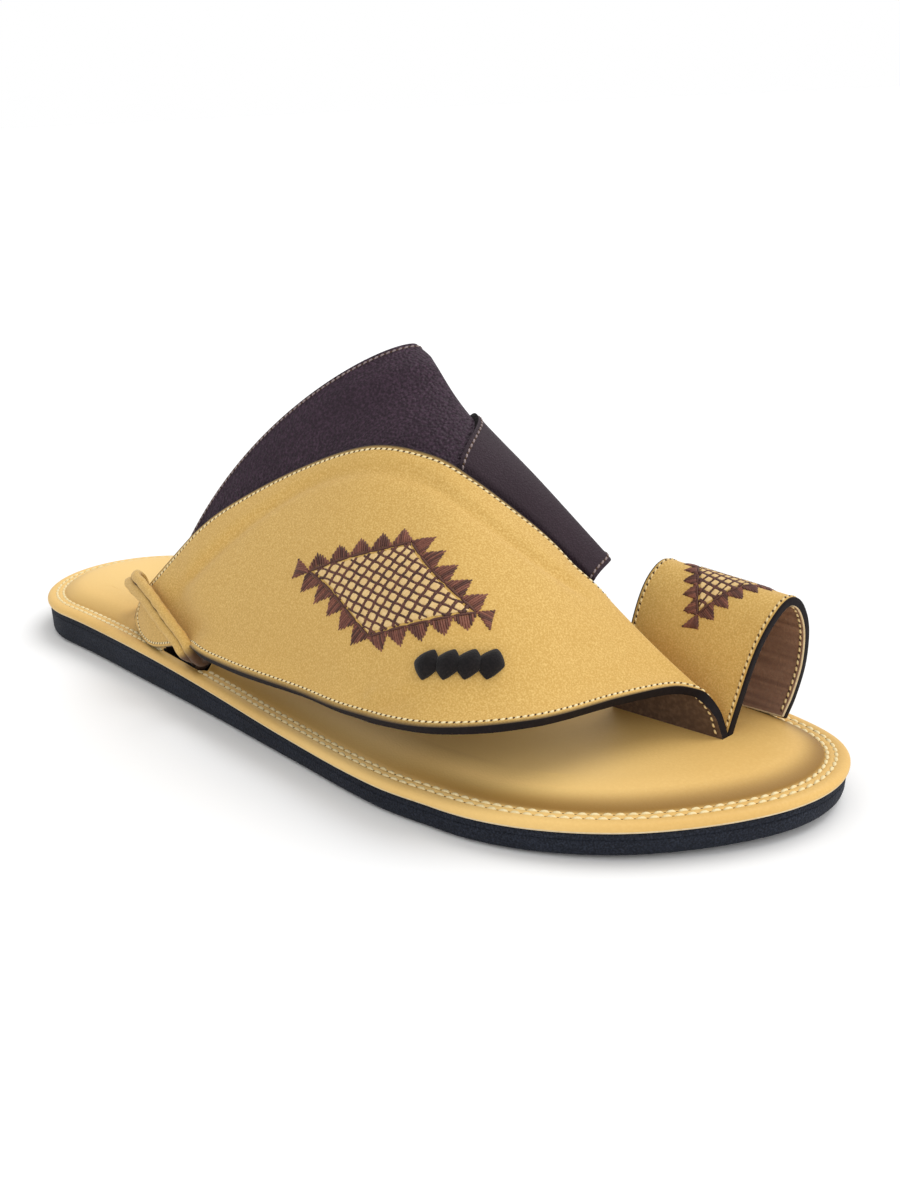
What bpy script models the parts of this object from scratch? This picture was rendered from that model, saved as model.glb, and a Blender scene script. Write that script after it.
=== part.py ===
"""Arabic sandal for the right foot: a flat sole, a wrapped upper, a toe loop and a side thong.

Sizes are in millimetres. X runs from the heel end to the toe, +Y to the inner side and +Z up from the
floor. The model is made in metres, with its origin under the middle of the sole.
"""

import math
from collections import namedtuple

import bmesh
import bpy
from mathutils import Vector

# Driving dimensions
MM = 0.001
LENGTH = 284.0
HEEL_HALF_WIDTH = 34.5
TOE_HALF_WIDTH = 50.5
HEEL_ROUND = 34.0
TOE_ROUND = 68.0
OUTSOLE_AT_HEEL = 10.0
OUTSOLE_AT_BALL = 6.4
WEDGE_START = 70.0
WEDGE_END = 180.0
TOE_SPRING = 1.9
SPRING_START = 200.0
RIM_THICKNESS = 2.7
PAD_RISE = 2.6
PAD_START = 6.6
PAD_END = 17.0
GAP = 0.4

# Walls of the straps
VAMP_WALL = 2.8
JOINED_WALL = 4.6
BAND_WALL = 3.4
PANEL_WALL = 1.8
LOOP_WALL = 2.8
THONG_WALL = 2.2
THONG_WIDTH = 5.5
BRAID_WIDTH = 4.5
BRAID_HEIGHT = 6.4
BRAID_RISE = 1.8
BRAID_ROUND = 0.3

# Sole between its round ends
Width = namedtuple("Width", "x half_width")
WIDTH_ROWS = (
    Width(34.0, 34.5),
    Width(80.0, 36.1),
    Width(120.0, 39.2),
    Width(160.0, 45.2),
    Width(197.0, 50.9),
    Width(215.0, 50.5),
)
Centre = namedtuple("Centre", "x y")
CENTRE_ROWS = (
    Centre(0.0, 0.0),
    Centre(40.0, 0.3),
    Centre(80.0, -2.0),
    Centre(120.0, -2.9),
    Centre(160.0, -1.7),
    Centre(197.0, -0.1),
    Centre(229.0, 1.6),
    Centre(257.0, 6.7),
    Centre(277.0, 13.2),
    Centre(284.0, 14.6),
)

# Vamp: one row across the leather for each section, from its tail to the slot beside the big toe
Vamp = namedtuple("Vamp", "upper_x upper_y upper_z lower_x lower_y lower_z crown")
VAMP_ROWS = (
    Vamp(67.5, -27.0, 20.5, 69.5, -30.0, 16.3, 0.0),
    Vamp(79.0, -31.0, 29.0, 88.5, -38.2, 15.8, 0.5),
    Vamp(94.0, -28.0, 43.0, 112.0, -40.0, 20.5, 1.5),
    Vamp(110.0, -23.0, 56.5, 127.5, -42.0, 21.0, 2.5),
    Vamp(136.0, -15.0, 71.0, 144.0, -44.0, 21.5, 4.0),
    Vamp(159.0, -10.0, 79.5, 167.0, -45.5, 22.5, 5.0),
    Vamp(176.5, -5.5, 78.5, 188.0, -48.0, 23.5, 5.5),
    Vamp(188.0, -2.0, 73.0, 214.0, -47.3, 26.0, 5.5),
    Vamp(202.5, 4.0, 62.0, 231.0, -33.5, 27.5, 4.0),
    Vamp(211.0, 7.5, 54.0, 238.0, -9.0, 27.0, 2.0),
    Vamp(218.0, 10.0, 48.0, 243.5, 8.5, 26.0, 0.7),
    Vamp(221.0, 12.5, 42.5, 249.0, 14.0, 24.8, 0.0),
    Vamp(222.0, 15.5, 34.0, 252.0, 16.2, 20.8, 0.0),
    Vamp(221.0, 17.5, 22.0, 253.0, 17.0, 16.0, 0.0),
    Vamp(220.0, 18.0, 11.0, 254.0, 17.3, 11.0, 0.0),
)
LAST_ROW = len(VAMP_ROWS) - 1.0

# Instep panel and band: where each of the vamp's rows goes on, over the ridge, to the inner edge
COLLAR_ROW = 1.8
BAND_ROW = 6.65
FRONT_ROW = 10.0
Instep = namedtuple("Instep", "row ridge_x ridge_y ridge_z root_x")
INSTEP_ROWS = (
    Instep(COLLAR_ROW, 152.0, 15.0, 105.0, 108.0),
    Instep(4.3, 162.0, 15.0, 98.0, 122.0),
    Instep(BAND_ROW, 175.0, 16.0, 86.3, 138.0),
    Instep(8.3, 195.0, 17.5, 71.0, 154.0),
    Instep(FRONT_ROW, 216.5, 20.0, 53.0, 172.0),
)
ROOT_INSET = 7.5
RIDGE_ROUND = 13.0
OUTER_RUN = 0.3
OUTER_FULLNESS = 0.68
INNER_BULGE = 5.0
INNER_FULLNESS = 0.6
HEM_SHARE = 0.4
HEM_ROWS = 0.6

# Toe loop: its round, from the slot, over the toe, to the inner edge
LOOP_REAR_LIFT = 3.0
Loop = namedtuple("Loop", "y z rear_x front_x")
LOOP_ROWS = (
    Loop(20.9, 11.0, 219.5, 254.0),
    Loop(21.8, 22.0, 219.5, 254.5),
    Loop(24.2, 34.0, 219.8, 256.5),
    Loop(28.5, 43.0, 220.5, 258.3),
    Loop(34.5, 47.0, 221.3, 259.2),
    Loop(40.5, 44.5, 221.8, 259.4),
    Loop(44.7, 36.5, 222.0, 259.4),
    Loop(45.6, 26.0, 222.0, 258.8),
    Loop(43.6, 17.0, 222.0, 257.8),
    Loop(40.6, 11.0, 222.0, 257.0),
)

# Side thong: the middle of its route from the slot, over the vamp's tail and down behind it
Thong = namedtuple("Thong", "x y z wide_x wide_y wide_z")
THONG_ROWS = (
    Thong(107.5, -33.8, 14.1, 1.0, 0.0, 0.0),
    Thong(110.0, -37.6, 15.4, 1.0, 0.0, 0.1),
    Thong(110.8, -40.4, 18.0, 0.8, 0.1, 0.4),
    Thong(107.5, -40.4, 21.2, 0.45, 0.2, 0.85),
    Thong(102.0, -39.3, 23.2, 0.35, 0.22, 0.9),
    Thong(96.0, -37.9, 25.3, 0.31, 0.26, 0.91),
    Thong(89.0, -35.8, 27.2, 0.3, 0.28, 0.91),
    Thong(81.5, -33.2, 28.6, 0.3, 0.3, 0.9),
    Thong(74.0, -29.8, 29.2, 0.45, 0.3, 0.85),
    Thong(68.6, -26.0, 28.0, 0.8, 0.2, 0.5),
    Thong(66.4, -23.2, 24.2, 1.0, 0.0, 0.2),
    Thong(66.2, -22.0, 19.8, 1.0, 0.0, 0.05),
    Thong(66.6, -21.6, 15.9, 1.0, 0.0, 0.0),
)

# Braid: where its four squares lie, as vamp row and share of the way up
BRAID_PLACES = ((6.88, 0.21), (7.10, 0.22), (7.32, 0.23), (7.55, 0.24))

# Finishes: colour, roughness
TAN_LEATHER = ((0.658, 0.434, 0.150), 0.75)
GOLD_LEATHER = ((0.670, 0.420, 0.140), 0.55)
BROWN_LEATHER = ((0.042, 0.027, 0.033), 0.50)
BLACK_RUBBER = ((0.016, 0.017, 0.022), 0.70)
BLACK_THONG = ((0.008, 0.007, 0.007), 0.80)

# Fineness of the meshes
OUTLINE_POINTS = 72
PAD_CELLS = 4
TAIL_CELLS = 5
PANEL_CELLS = 11
BAND_CELLS = 9
SLOT_CELLS = 10
VAMP_CELLS = 8
OUTER_CELLS = 6
INNER_CELLS = 8
LOOP_CELLS = 27
LOOP_CELLS_ACROSS = 3
THONG_CELLS = 30
THONG_CELLS_ACROSS = 2
OVERLAP_STEP = 0.02
NEAR = 0.05
SHARP_DEGREES = 40.0


def spread(start, end, count):
    """Evenly spaced places from start to end."""
    return [start + (end - start) * k / count for k in range(count + 1)]


def smooth_step(value):
    """0 below 0, 1 above 1, and a soft rise between."""
    held = min(max(value, 0.0), 1.0)
    return held * held * (3.0 - 2.0 * held)


def along(rows, at, knot=None):
    """A table read at any place, on a smooth curve through its rows.

    The place is a value in the knot column, or else a row's number.
    """
    knots = [getattr(row, knot) for row in rows] if knot else list(range(len(rows)))
    last = len(knots) - 1
    held = min(max(at, knots[0]), knots[last])
    low = max(k for k in range(last) if knots[k] <= held)
    step = knots[low + 1] - knots[low]
    share = (held - knots[low]) / step
    bend = share * share * (3.0 - 2.0 * share)

    def slope(k, column):
        before = max(k - 1, 0)
        after = min(k + 1, last)
        return (rows[after][column] - rows[before][column]) / (knots[after] - knots[before])

    values = []
    for column in range(len(rows[0])):
        leave = slope(low, column) * step * share * (1.0 - share) ** 2
        arrive = slope(low + 1, column) * step * share * share * (1.0 - share)
        values.append(rows[low][column] * (1.0 - bend) + rows[low + 1][column] * bend + leave - arrive)
    return type(rows[0])._make(values)


def half_width(x):
    """Half the width of the sole, with round ends."""
    if x < HEEL_ROUND:
        share = (HEEL_ROUND - x) / HEEL_ROUND
        return HEEL_HALF_WIDTH * math.sqrt(max(1.0 - share * share, 0.0))
    if x > LENGTH - TOE_ROUND:
        share = (x - LENGTH + TOE_ROUND) / TOE_ROUND
        return TOE_HALF_WIDTH * math.sqrt(max(1.0 - share * share, 0.0))
    return along(WIDTH_ROWS, x, "x").half_width


def centre_line(x):
    return along(CENTRE_ROWS, x, "x").y


def outline_corner(index):
    """A point of the sole's outline: down the outer side to the toe, and back along the inner side."""
    half = OUTLINE_POINTS // 2
    turn = index % OUTLINE_POINTS
    share = turn / half if turn <= half else (OUTLINE_POINTS - turn) / half
    side = -1.0 if turn <= half else 1.0
    x = LENGTH * (1.0 - math.cos(math.pi * share)) / 2.0
    return Vector((x, centre_line(x) + side * half_width(x)))


OUTLINE = [outline_corner(index) for index in range(OUTLINE_POINTS)]


def inset_outline(inset):
    """The outline moved inwards by the same distance all round."""
    moved = []
    for index in range(OUTLINE_POINTS):
        run = OUTLINE[(index + 1) % OUTLINE_POINTS] - OUTLINE[index - 1]
        inwards = Vector((-run.y, run.x)).normalized()
        moved.append(OUTLINE[index] + inset * inwards)
    return moved


def edge_distance(x, y):
    """How far a place on the sole is from its outline."""
    place = Vector((x, y))
    nearest = LENGTH
    for index in range(OUTLINE_POINTS):
        start = OUTLINE[index - 1]
        run = OUTLINE[index] - start
        share = (place - start).dot(run) / run.length_squared
        nearest = min(nearest, (place - start - run * min(max(share, 0.0), 1.0)).length)
    return nearest


def underside(place):
    """Underside of the outsole: flat on the floor, with a toe spring in front."""
    share = max(place.x - SPRING_START, 0.0) / (LENGTH - SPRING_START)
    return TOE_SPRING * share * share


def outsole_top(place):
    """Top of the outsole, which thins from the heel to the ball."""
    wedge = smooth_step((place.x - WEDGE_START) / (WEDGE_END - WEDGE_START))
    return underside(place) + OUTSOLE_AT_HEEL + (OUTSOLE_AT_BALL - OUTSOLE_AT_HEEL) * wedge


def insole_top(place):
    """Top of the insole: a flat sewn rim, and a soft pad inside it."""
    pad = smooth_step((edge_distance(place.x, place.y) - PAD_START) / (PAD_END - PAD_START))
    return outsole_top(place) + RIM_THICKNESS + PAD_RISE * pad


def seated(point):
    """A place on a strap, no lower than its seat on the insole."""
    return Vector((point.x, point.y, max(point.z, insole_top(point) + GAP)))


def placed(point):
    """A place on the shoe in millimetres, in the model's frame in metres."""
    return Vector((point.x - LENGTH / 2.0, point.y, point.z)) * MM


def finished(name, form, *finishes):
    """A new object of the sandal from its form, with its own material for each finish."""
    bmesh.ops.recalc_face_normals(form, faces=form.faces)
    mesh = bpy.data.meshes.new(name)
    form.to_mesh(mesh)
    form.free()
    for colour, roughness in finishes:
        material = bpy.data.materials.new(name)
        material.use_nodes = True
        shader = material.node_tree.nodes["Principled BSDF"]
        shader.inputs["Base Color"].default_value = (*colour, 1.0)
        shader.inputs["Roughness"].default_value = roughness
        shader.inputs["Metallic"].default_value = 0.0
        mesh.materials.append(material)
    mesh.shade_smooth()
    mesh.set_sharp_from_angle(angle=math.radians(SHARP_DEGREES))
    sandal.objects.link(bpy.data.objects.new(name, mesh))


# Sole layers: one ring of the outline after another, from the underside to the top
Ring = namedtuple("Ring", "inset level rise")
OUTSOLE_RINGS = (
    Ring(3.2, underside, 0.0),
    Ring(1.7, underside, 0.5),
    Ring(1.0, underside, 1.8),
    Ring(0.8, outsole_top, -1.9),
    Ring(1.2, outsole_top, -1.6),
    Ring(1.2, outsole_top, 0.0),
)
RIM_RINGS = (
    Ring(1.2, outsole_top, GAP),
    Ring(0.0, outsole_top, 1.1),
    Ring(0.2, outsole_top, 2.0),
    Ring(1.2, outsole_top, RIM_THICKNESS),
)
PAD_RINGS = tuple(Ring(inset, insole_top, 0.0) for inset in spread(PAD_START, PAD_END, PAD_CELLS))


def make_layer(name, rings, finish):
    """A sole layer: the outline as a disc, extruded ring by ring."""
    form = bmesh.new()
    bmesh.ops.create_circle(form, cap_ends=True, segments=OUTLINE_POINTS, radius=1.0)
    cap = next(iter(form.faces))
    corners = list(cap.verts)
    lowest = corners
    for ring in rings:
        if ring is not rings[0]:
            spots = [corner.co.copy() for corner in corners]
            cap = bmesh.ops.extrude_discrete_faces(form, faces=[cap])["faces"][0]
            corners = [min(cap.verts, key=lambda v: (v.co - spot).length_squared) for spot in spots]
        for corner, place in zip(corners, inset_outline(ring.inset)):
            corner.co = placed(Vector((place.x, place.y, ring.level(place) + ring.rise)))
    split_across(cap, corners)
    split_across(form.faces.new(lowest[:1] + lowest[:0:-1]), lowest)
    finished(name, form, finish)


def split_across(face, corners):
    """Cuts an end face into strips across the shoe, so that it follows the sole's length."""
    rest = face
    for index in range(1, OUTLINE_POINTS // 2):
        near, far, later = corners[index], corners[-index], corners[index + 1]
        bmesh.utils.face_split(rest, near, far)
        rest = next(part for part in near.link_faces if far in part.verts[:] and later in part.verts[:])


def make_strap(name, columns, rows, lining, face, finishes, kept=None, finish_of=None):
    """A strap: a grid bent to its lining, and extruded to its outer face as one closed wall."""
    form = bmesh.new()
    bmesh.ops.create_grid(form, x_segments=len(columns) - 1, y_segments=len(rows) - 1, size=0.5)
    spot = form.verts.layers.int.new("spot")
    spots = []
    for number, corner in enumerate(form.verts):
        i = round((corner.co.x + 0.5) * (len(columns) - 1))
        j = round((corner.co.y + 0.5) * (len(rows) - 1))
        spots.append((columns[i], rows[j]))
        corner[spot] = number
    if kept:
        spare = [cell for cell in form.faces if not kept([spots[v[spot]] for v in cell.verts])]
        bmesh.ops.delete(form, geom=spare, context="FACES")
    if finish_of:
        for cell in form.faces:
            cell.material_index = finish_of([spots[v[spot]] for v in cell.verts])
    for corner in form.verts:
        corner.co = placed(seated(lining(*spots[corner[spot]])))
    grown = bmesh.ops.extrude_face_region(form, geom=form.faces[:], use_keep_orig=True)["geom"]
    for corner in grown:
        if isinstance(corner, bmesh.types.BMVert):
            corner.co = placed(seated(face(*spots[corner[spot]])))
    finished(name, form, *finishes)


def vamp_edges(row):
    """The upper and lower edge points of the vamp at a row."""
    at = along(VAMP_ROWS, row)
    return Vector((at.upper_x, at.upper_y, at.upper_z)), Vector((at.lower_x, at.lower_y, at.lower_z))


def vamp_skin(row, up):
    """The vamp's outer face: straight across at each row, crowned in its middle."""
    upper, lower = vamp_edges(row)
    ahead = sum(vamp_edges(row + NEAR), Vector()) - sum(vamp_edges(row - NEAR), Vector())
    outwards = ahead.cross(upper - lower).normalized()
    return lower.lerp(upper, up) + outwards * along(VAMP_ROWS, row).crown * 4.0 * up * (1.0 - up)


def bezier(start, leave, arrive, end, share):
    """A point on a curve that leaves and arrives towards its two middle points."""
    low = start.lerp(leave, share)
    middle = leave.lerp(arrive, share)
    high = arrive.lerp(end, share)
    return low.lerp(middle, share).lerp(middle.lerp(high, share), share)


def instep_skin(row, over):
    """The instep's outer face: from the vamp's edge to the ridge at 1, and down to the root at 2."""
    at = along(INSTEP_ROWS, row, "row")
    edge = vamp_edges(row)[0]
    ridge = Vector((at.ridge_x, at.ridge_y, at.ridge_z))
    root = Vector((at.root_x, centre_line(at.root_x) + half_width(at.root_x) - ROOT_INSET, 0.0))
    root = seated(root)
    sideways = Vector((root.x - edge.x, root.y - edge.y, 0.0)).normalized()
    if over <= 1.0:
        leave = edge.lerp(ridge, OUTER_RUN)
        leave.z = edge.z + (ridge.z - edge.z) * OUTER_FULLNESS
        reach = min(RIDGE_ROUND, (ridge - edge).dot(sideways) / 2.0)
        return bezier(edge, leave, ridge - sideways * reach, ridge, over)
    arrive = root + Vector((0.0, INNER_BULGE, (ridge.z - root.z) * INNER_FULLNESS))
    return bezier(ridge, ridge + sideways * RIDGE_ROUND, arrive, root, over - 1.0)


def upper_skin(row, across):
    """The whole upper, from the vamp's lower edge at 0 over its upper edge at 1 to the root at 3."""
    return vamp_skin(row, across) if across <= 1.0 else instep_skin(row, across - 1.0)


def outwards_at(row, across):
    ahead = upper_skin(row + NEAR, across) - upper_skin(row - NEAR, across)
    highest = 3.0 if COLLAR_ROW <= row <= FRONT_ROW else 1.0
    up = upper_skin(row, min(across + NEAR, highest)) - upper_skin(row, max(across - NEAR, 0.0))
    return ahead.cross(up).normalized()


def over_hem(row, across):
    """How far a place on the vamp lies over the instep's hem, 0 to 1."""
    reach = smooth_step((across - 1.0) / HEM_SHARE + 1.0)
    rear = smooth_step((row - COLLAR_ROW) / HEM_ROWS + 1.0)
    front = smooth_step((FRONT_ROW - row) / HEM_ROWS + 1.0)
    return reach * rear * front


def upper_lining(row, across):
    """The inner face: as deep as the vamp's wall, or as all the layers where they are joined."""
    joined = 1.0 if across > 1.0 else over_hem(row, across)
    depth = VAMP_WALL + (JOINED_WALL - VAMP_WALL) * joined
    return upper_skin(row, across) - outwards_at(row, across) * depth


def upper_face(row, across):
    """The outer face: the vamp lies over the band, and the band over the panel, as steps."""
    if across <= 1.0:
        return upper_skin(row, across)
    wall = BAND_WALL if row >= BAND_ROW else PANEL_WALL
    return upper_skin(row, across) - outwards_at(row, across) * (JOINED_WALL - wall)


def on_vamp(spots):
    return max(across for row, across in spots) <= 1.0


def on_upper(spots):
    rows = [row for row, across in spots]
    return on_vamp(spots) or (min(rows) >= COLLAR_ROW and max(rows) <= FRONT_ROW)


def upper_finish(spots):
    return 0 if on_vamp(spots) else 1


def make_upper():
    """Vamp, instep panel and band, joined where they cross, as one hollow wall."""
    tail = spread(0.0, COLLAR_ROW, TAIL_CELLS)
    panel = spread(COLLAR_ROW, BAND_ROW - OVERLAP_STEP, PANEL_CELLS)
    band = spread(BAND_ROW, FRONT_ROW, BAND_CELLS)
    slot = spread(FRONT_ROW, LAST_ROW, SLOT_CELLS)
    outer = spread(1.0 + OVERLAP_STEP, 2.0, OUTER_CELLS)
    across = spread(0.0, 1.0, VAMP_CELLS) + outer + spread(2.0, 3.0, INNER_CELLS)[1:]
    rows = tail + panel[1:] + band + slot[1:]
    finishes = (TAN_LEATHER, BROWN_LEATHER)
    make_strap("upper", rows, across, upper_lining, upper_face, finishes, on_upper, upper_finish)


def loop_face(turn, share):
    """The toe loop's outer face, a little higher at its rear edge than at its front."""
    at = along(LOOP_ROWS, turn)
    foot = LOOP_ROWS[0].z
    top = max(row.z for row in LOOP_ROWS)
    lift = LOOP_REAR_LIFT * (1.0 - share) * (at.z - foot) / (top - foot)
    return Vector((at.rear_x + (at.front_x - at.rear_x) * share, at.y, at.z + lift))


def loop_lining(turn, share):
    run = loop_face(turn + NEAR, share) - loop_face(turn - NEAR, share)
    inwards = Vector((0.0, run.z, -run.y)).normalized()
    return loop_face(turn, share) + inwards * LOOP_WALL


def make_toe_loop():
    """Band round the big toe, open at its front and rear."""
    turns = spread(0.0, len(LOOP_ROWS) - 1.0, LOOP_CELLS)
    across = spread(0.0, 1.0, LOOP_CELLS_ACROSS)
    make_strap("toe_loop", turns, across, loop_lining, loop_face, (TAN_LEATHER,))


def thong_middle(turn):
    at = along(THONG_ROWS, turn)
    return Vector((at.x, at.y, at.z))


def thong_place(turn, share, rise):
    """A place on the side thong: share of its width, and height over its lining."""
    at = along(THONG_ROWS, turn)
    run = (thong_middle(turn + NEAR) - thong_middle(turn - NEAR)).normalized()
    wide = Vector((at.wide_x, at.wide_y, at.wide_z))
    sideways = (wide - run * wide.dot(run)).normalized()
    return thong_middle(turn) + sideways * THONG_WIDTH * (share - 0.5) + sideways.cross(run) * rise


def thong_lining(turn, share):
    return thong_place(turn, share, 0.0)


def thong_face(turn, share):
    return thong_place(turn, share, THONG_WALL)


def make_side_thong():
    """Folded thong that holds the vamp's tail down to the insole."""
    turns = spread(0.0, len(THONG_ROWS) - 1.0, THONG_CELLS)
    across = spread(0.0, 1.0, THONG_CELLS_ACROSS)
    make_strap("side_thong", turns, across, thong_lining, thong_face, (TAN_LEATHER,))


def make_braid():
    """Four small squares of folded thong, laid on the vamp in a row."""
    for number, (row, up) in enumerate(BRAID_PLACES, start=1):
        middle = vamp_skin(row, up)
        outwards = outwards_at(row, up)
        ahead = (vamp_skin(row + NEAR, up) - vamp_skin(row - NEAR, up)).normalized()
        upwards = outwards.cross(ahead).normalized()
        form = bmesh.new()
        bmesh.ops.create_cube(form, size=1.0)
        bmesh.ops.bevel(form, geom=form.edges[:], offset=BRAID_ROUND, segments=2, profile=0.5, affect="EDGES")
        for corner in form.verts:
            flat = ahead * corner.co.x * BRAID_WIDTH + upwards * corner.co.y * BRAID_HEIGHT
            rise = outwards * (GAP + (corner.co.z + 0.5) * BRAID_RISE)
            corner.co = placed(middle + flat + rise)
        finished(f"braid_{number}", form, BLACK_THONG)


for leftover in list(bpy.data.objects):
    bpy.data.objects.remove(leftover)
sandal = bpy.data.collections.new("arabic_sandal")
bpy.context.scene.collection.children.link(sandal)

make_layer("outsole", OUTSOLE_RINGS, BLACK_RUBBER)
make_layer("insole", RIM_RINGS + PAD_RINGS, GOLD_LEATHER)
make_upper()
make_toe_loop()
make_side_thong()
make_braid()
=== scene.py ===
import math
import random
from collections import namedtuple
from functools import lru_cache

import bmesh
import bpy
from mathutils import Matrix, Vector, noise


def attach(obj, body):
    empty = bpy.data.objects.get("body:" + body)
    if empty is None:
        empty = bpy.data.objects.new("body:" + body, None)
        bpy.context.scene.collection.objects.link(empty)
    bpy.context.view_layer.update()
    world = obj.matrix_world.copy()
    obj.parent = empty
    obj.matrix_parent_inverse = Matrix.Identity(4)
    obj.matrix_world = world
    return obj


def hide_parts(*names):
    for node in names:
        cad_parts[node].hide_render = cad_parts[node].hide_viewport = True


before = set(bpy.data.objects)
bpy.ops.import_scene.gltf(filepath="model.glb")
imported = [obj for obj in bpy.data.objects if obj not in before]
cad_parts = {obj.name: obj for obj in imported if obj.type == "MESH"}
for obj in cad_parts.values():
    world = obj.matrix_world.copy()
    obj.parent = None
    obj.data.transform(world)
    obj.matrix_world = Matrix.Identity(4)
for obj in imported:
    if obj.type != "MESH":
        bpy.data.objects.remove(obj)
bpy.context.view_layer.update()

# Outsole: a flat sheet of black cellular rubber, cut to the outline of the sandal and skived thinner
# under the ball of the foot. Its lower edge is ground round, and the cemented joint under its top layer
# shows as a fine line along its wall. Sizes are in millimetres, with X from the heel end.
MM = 0.001
LENGTH = 284.0
HEEL_HALF_WIDTH = 34.5
TOE_HALF_WIDTH = 50.5
HEEL_ROUND = 34.0
TOE_ROUND = 68.0
OUTSOLE_AT_HEEL = 10.0
OUTSOLE_AT_BALL = 6.4
WEDGE_START = 70.0
WEDGE_END = 180.0
TOE_SPRING = 1.9
SPRING_START = 200.0
SOLE_POINTS = 240
SHARP_ANGLE = math.radians(50.0)
Width = namedtuple("Width", "x half_width")
WIDTH_ROWS = (
    Width(34.0, 34.5),
    Width(80.0, 36.1),
    Width(120.0, 39.2),
    Width(160.0, 45.2),
    Width(197.0, 50.9),
    Width(215.0, 50.5),
)
Centre = namedtuple("Centre", "x y")
CENTRE_ROWS = (
    Centre(0.0, 0.0),
    Centre(40.0, 0.3),
    Centre(80.0, -2.0),
    Centre(120.0, -2.9),
    Centre(160.0, -1.7),
    Centre(197.0, -0.1),
    Centre(229.0, 1.6),
    Centre(257.0, 6.7),
    Centre(277.0, 13.2),
    Centre(284.0, 14.6),
)


def spread(start, end, count):
    """Evenly spaced places from start to end."""
    return [start + (end - start) * k / count for k in range(count + 1)]


def smooth_step(value):
    """0 below 0, 1 above 1, and a soft rise between."""
    held = min(max(value, 0.0), 1.0)
    return held * held * (3.0 - 2.0 * held)


def along(rows, at, knot=None):
    """A table read at any place, on a smooth curve through its rows, by a column or by row number."""
    knots = [getattr(row, knot) for row in rows] if knot else list(range(len(rows)))
    last = len(knots) - 1
    held = min(max(at, knots[0]), knots[last])
    low = max(k for k in range(last) if knots[k] <= held)
    step = knots[low + 1] - knots[low]
    share = (held - knots[low]) / step
    bend = share * share * (3.0 - 2.0 * share)

    def slope(k, column):
        before = max(k - 1, 0)
        after = min(k + 1, last)
        return (rows[after][column] - rows[before][column]) / (knots[after] - knots[before])

    values = []
    for column in range(len(rows[0])):
        leave = slope(low, column) * step * share * (1.0 - share) ** 2
        arrive = slope(low + 1, column) * step * share * share * (1.0 - share)
        values.append(rows[low][column] * (1.0 - bend) + rows[low + 1][column] * bend + leave - arrive)
    return type(rows[0])._make(values)


def half_width(x):
    """Half the width of the sole, with round ends."""
    if x < HEEL_ROUND:
        share = (HEEL_ROUND - x) / HEEL_ROUND
        return HEEL_HALF_WIDTH * math.sqrt(max(1.0 - share * share, 0.0))
    if x > LENGTH - TOE_ROUND:
        share = (x - LENGTH + TOE_ROUND) / TOE_ROUND
        return TOE_HALF_WIDTH * math.sqrt(max(1.0 - share * share, 0.0))
    return along(WIDTH_ROWS, x, "x").half_width


def centre_line(x):
    return along(CENTRE_ROWS, x, "x").y


def outline_corner(index):
    """A point of the sole's outline: down the outer side to the toe, and back along the inner side."""
    half = SOLE_POINTS // 2
    share = index / half if index <= half else (SOLE_POINTS - index) / half
    side = -1.0 if index <= half else 1.0
    x = LENGTH * (1.0 - math.cos(math.pi * share)) / 2.0
    return Vector((x, centre_line(x) + side * half_width(x)))


OUTLINE = [outline_corner(index) for index in range(SOLE_POINTS)]


def inset_outline(inset):
    """The outline moved inwards by the same distance all round."""
    moved = []
    for index in range(SOLE_POINTS):
        run = OUTLINE[(index + 1) % SOLE_POINTS] - OUTLINE[index - 1]
        moved.append(OUTLINE[index] + inset * Vector((-run.y, run.x)).normalized())
    return moved


def underside(x):
    """Underside of the outsole: flat on the floor, with a toe spring in front."""
    share = max(x - SPRING_START, 0.0) / (LENGTH - SPRING_START)
    return TOE_SPRING * share * share


def outsole_top(x):
    """Top of the outsole, which thins from the heel to the ball."""
    wedge = smooth_step((x - WEDGE_START) / (WEDGE_END - WEDGE_START))
    return underside(x) + OUTSOLE_AT_HEEL + (OUTSOLE_AT_BALL - OUTSOLE_AT_HEEL) * wedge


def placed(point):
    """A place on the shoe in millimetres, in the frame's metres."""
    return Vector((point.x - LENGTH / 2.0, point.y, point.z)) * MM


def from_heel(x):
    """An X of the frame, in millimetres from the heel end."""
    return x / MM + LENGTH / 2.0


Ring = namedtuple("Ring", "inset level rise")
OUTSOLE_RINGS = (
    Ring(3.4, underside, 0.0),
    Ring(2.4, underside, 0.15),
    Ring(1.7, underside, 0.5),
    Ring(1.2, underside, 1.1),
    Ring(0.95, underside, 2.0),
    Ring(0.8, outsole_top, -2.2),
    Ring(0.85, outsole_top, -1.95),
    Ring(1.1, outsole_top, -1.8),
    Ring(0.85, outsole_top, -1.65),
    Ring(0.85, outsole_top, -0.4),
    Ring(1.3, outsole_top, 0.0),
)


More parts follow.
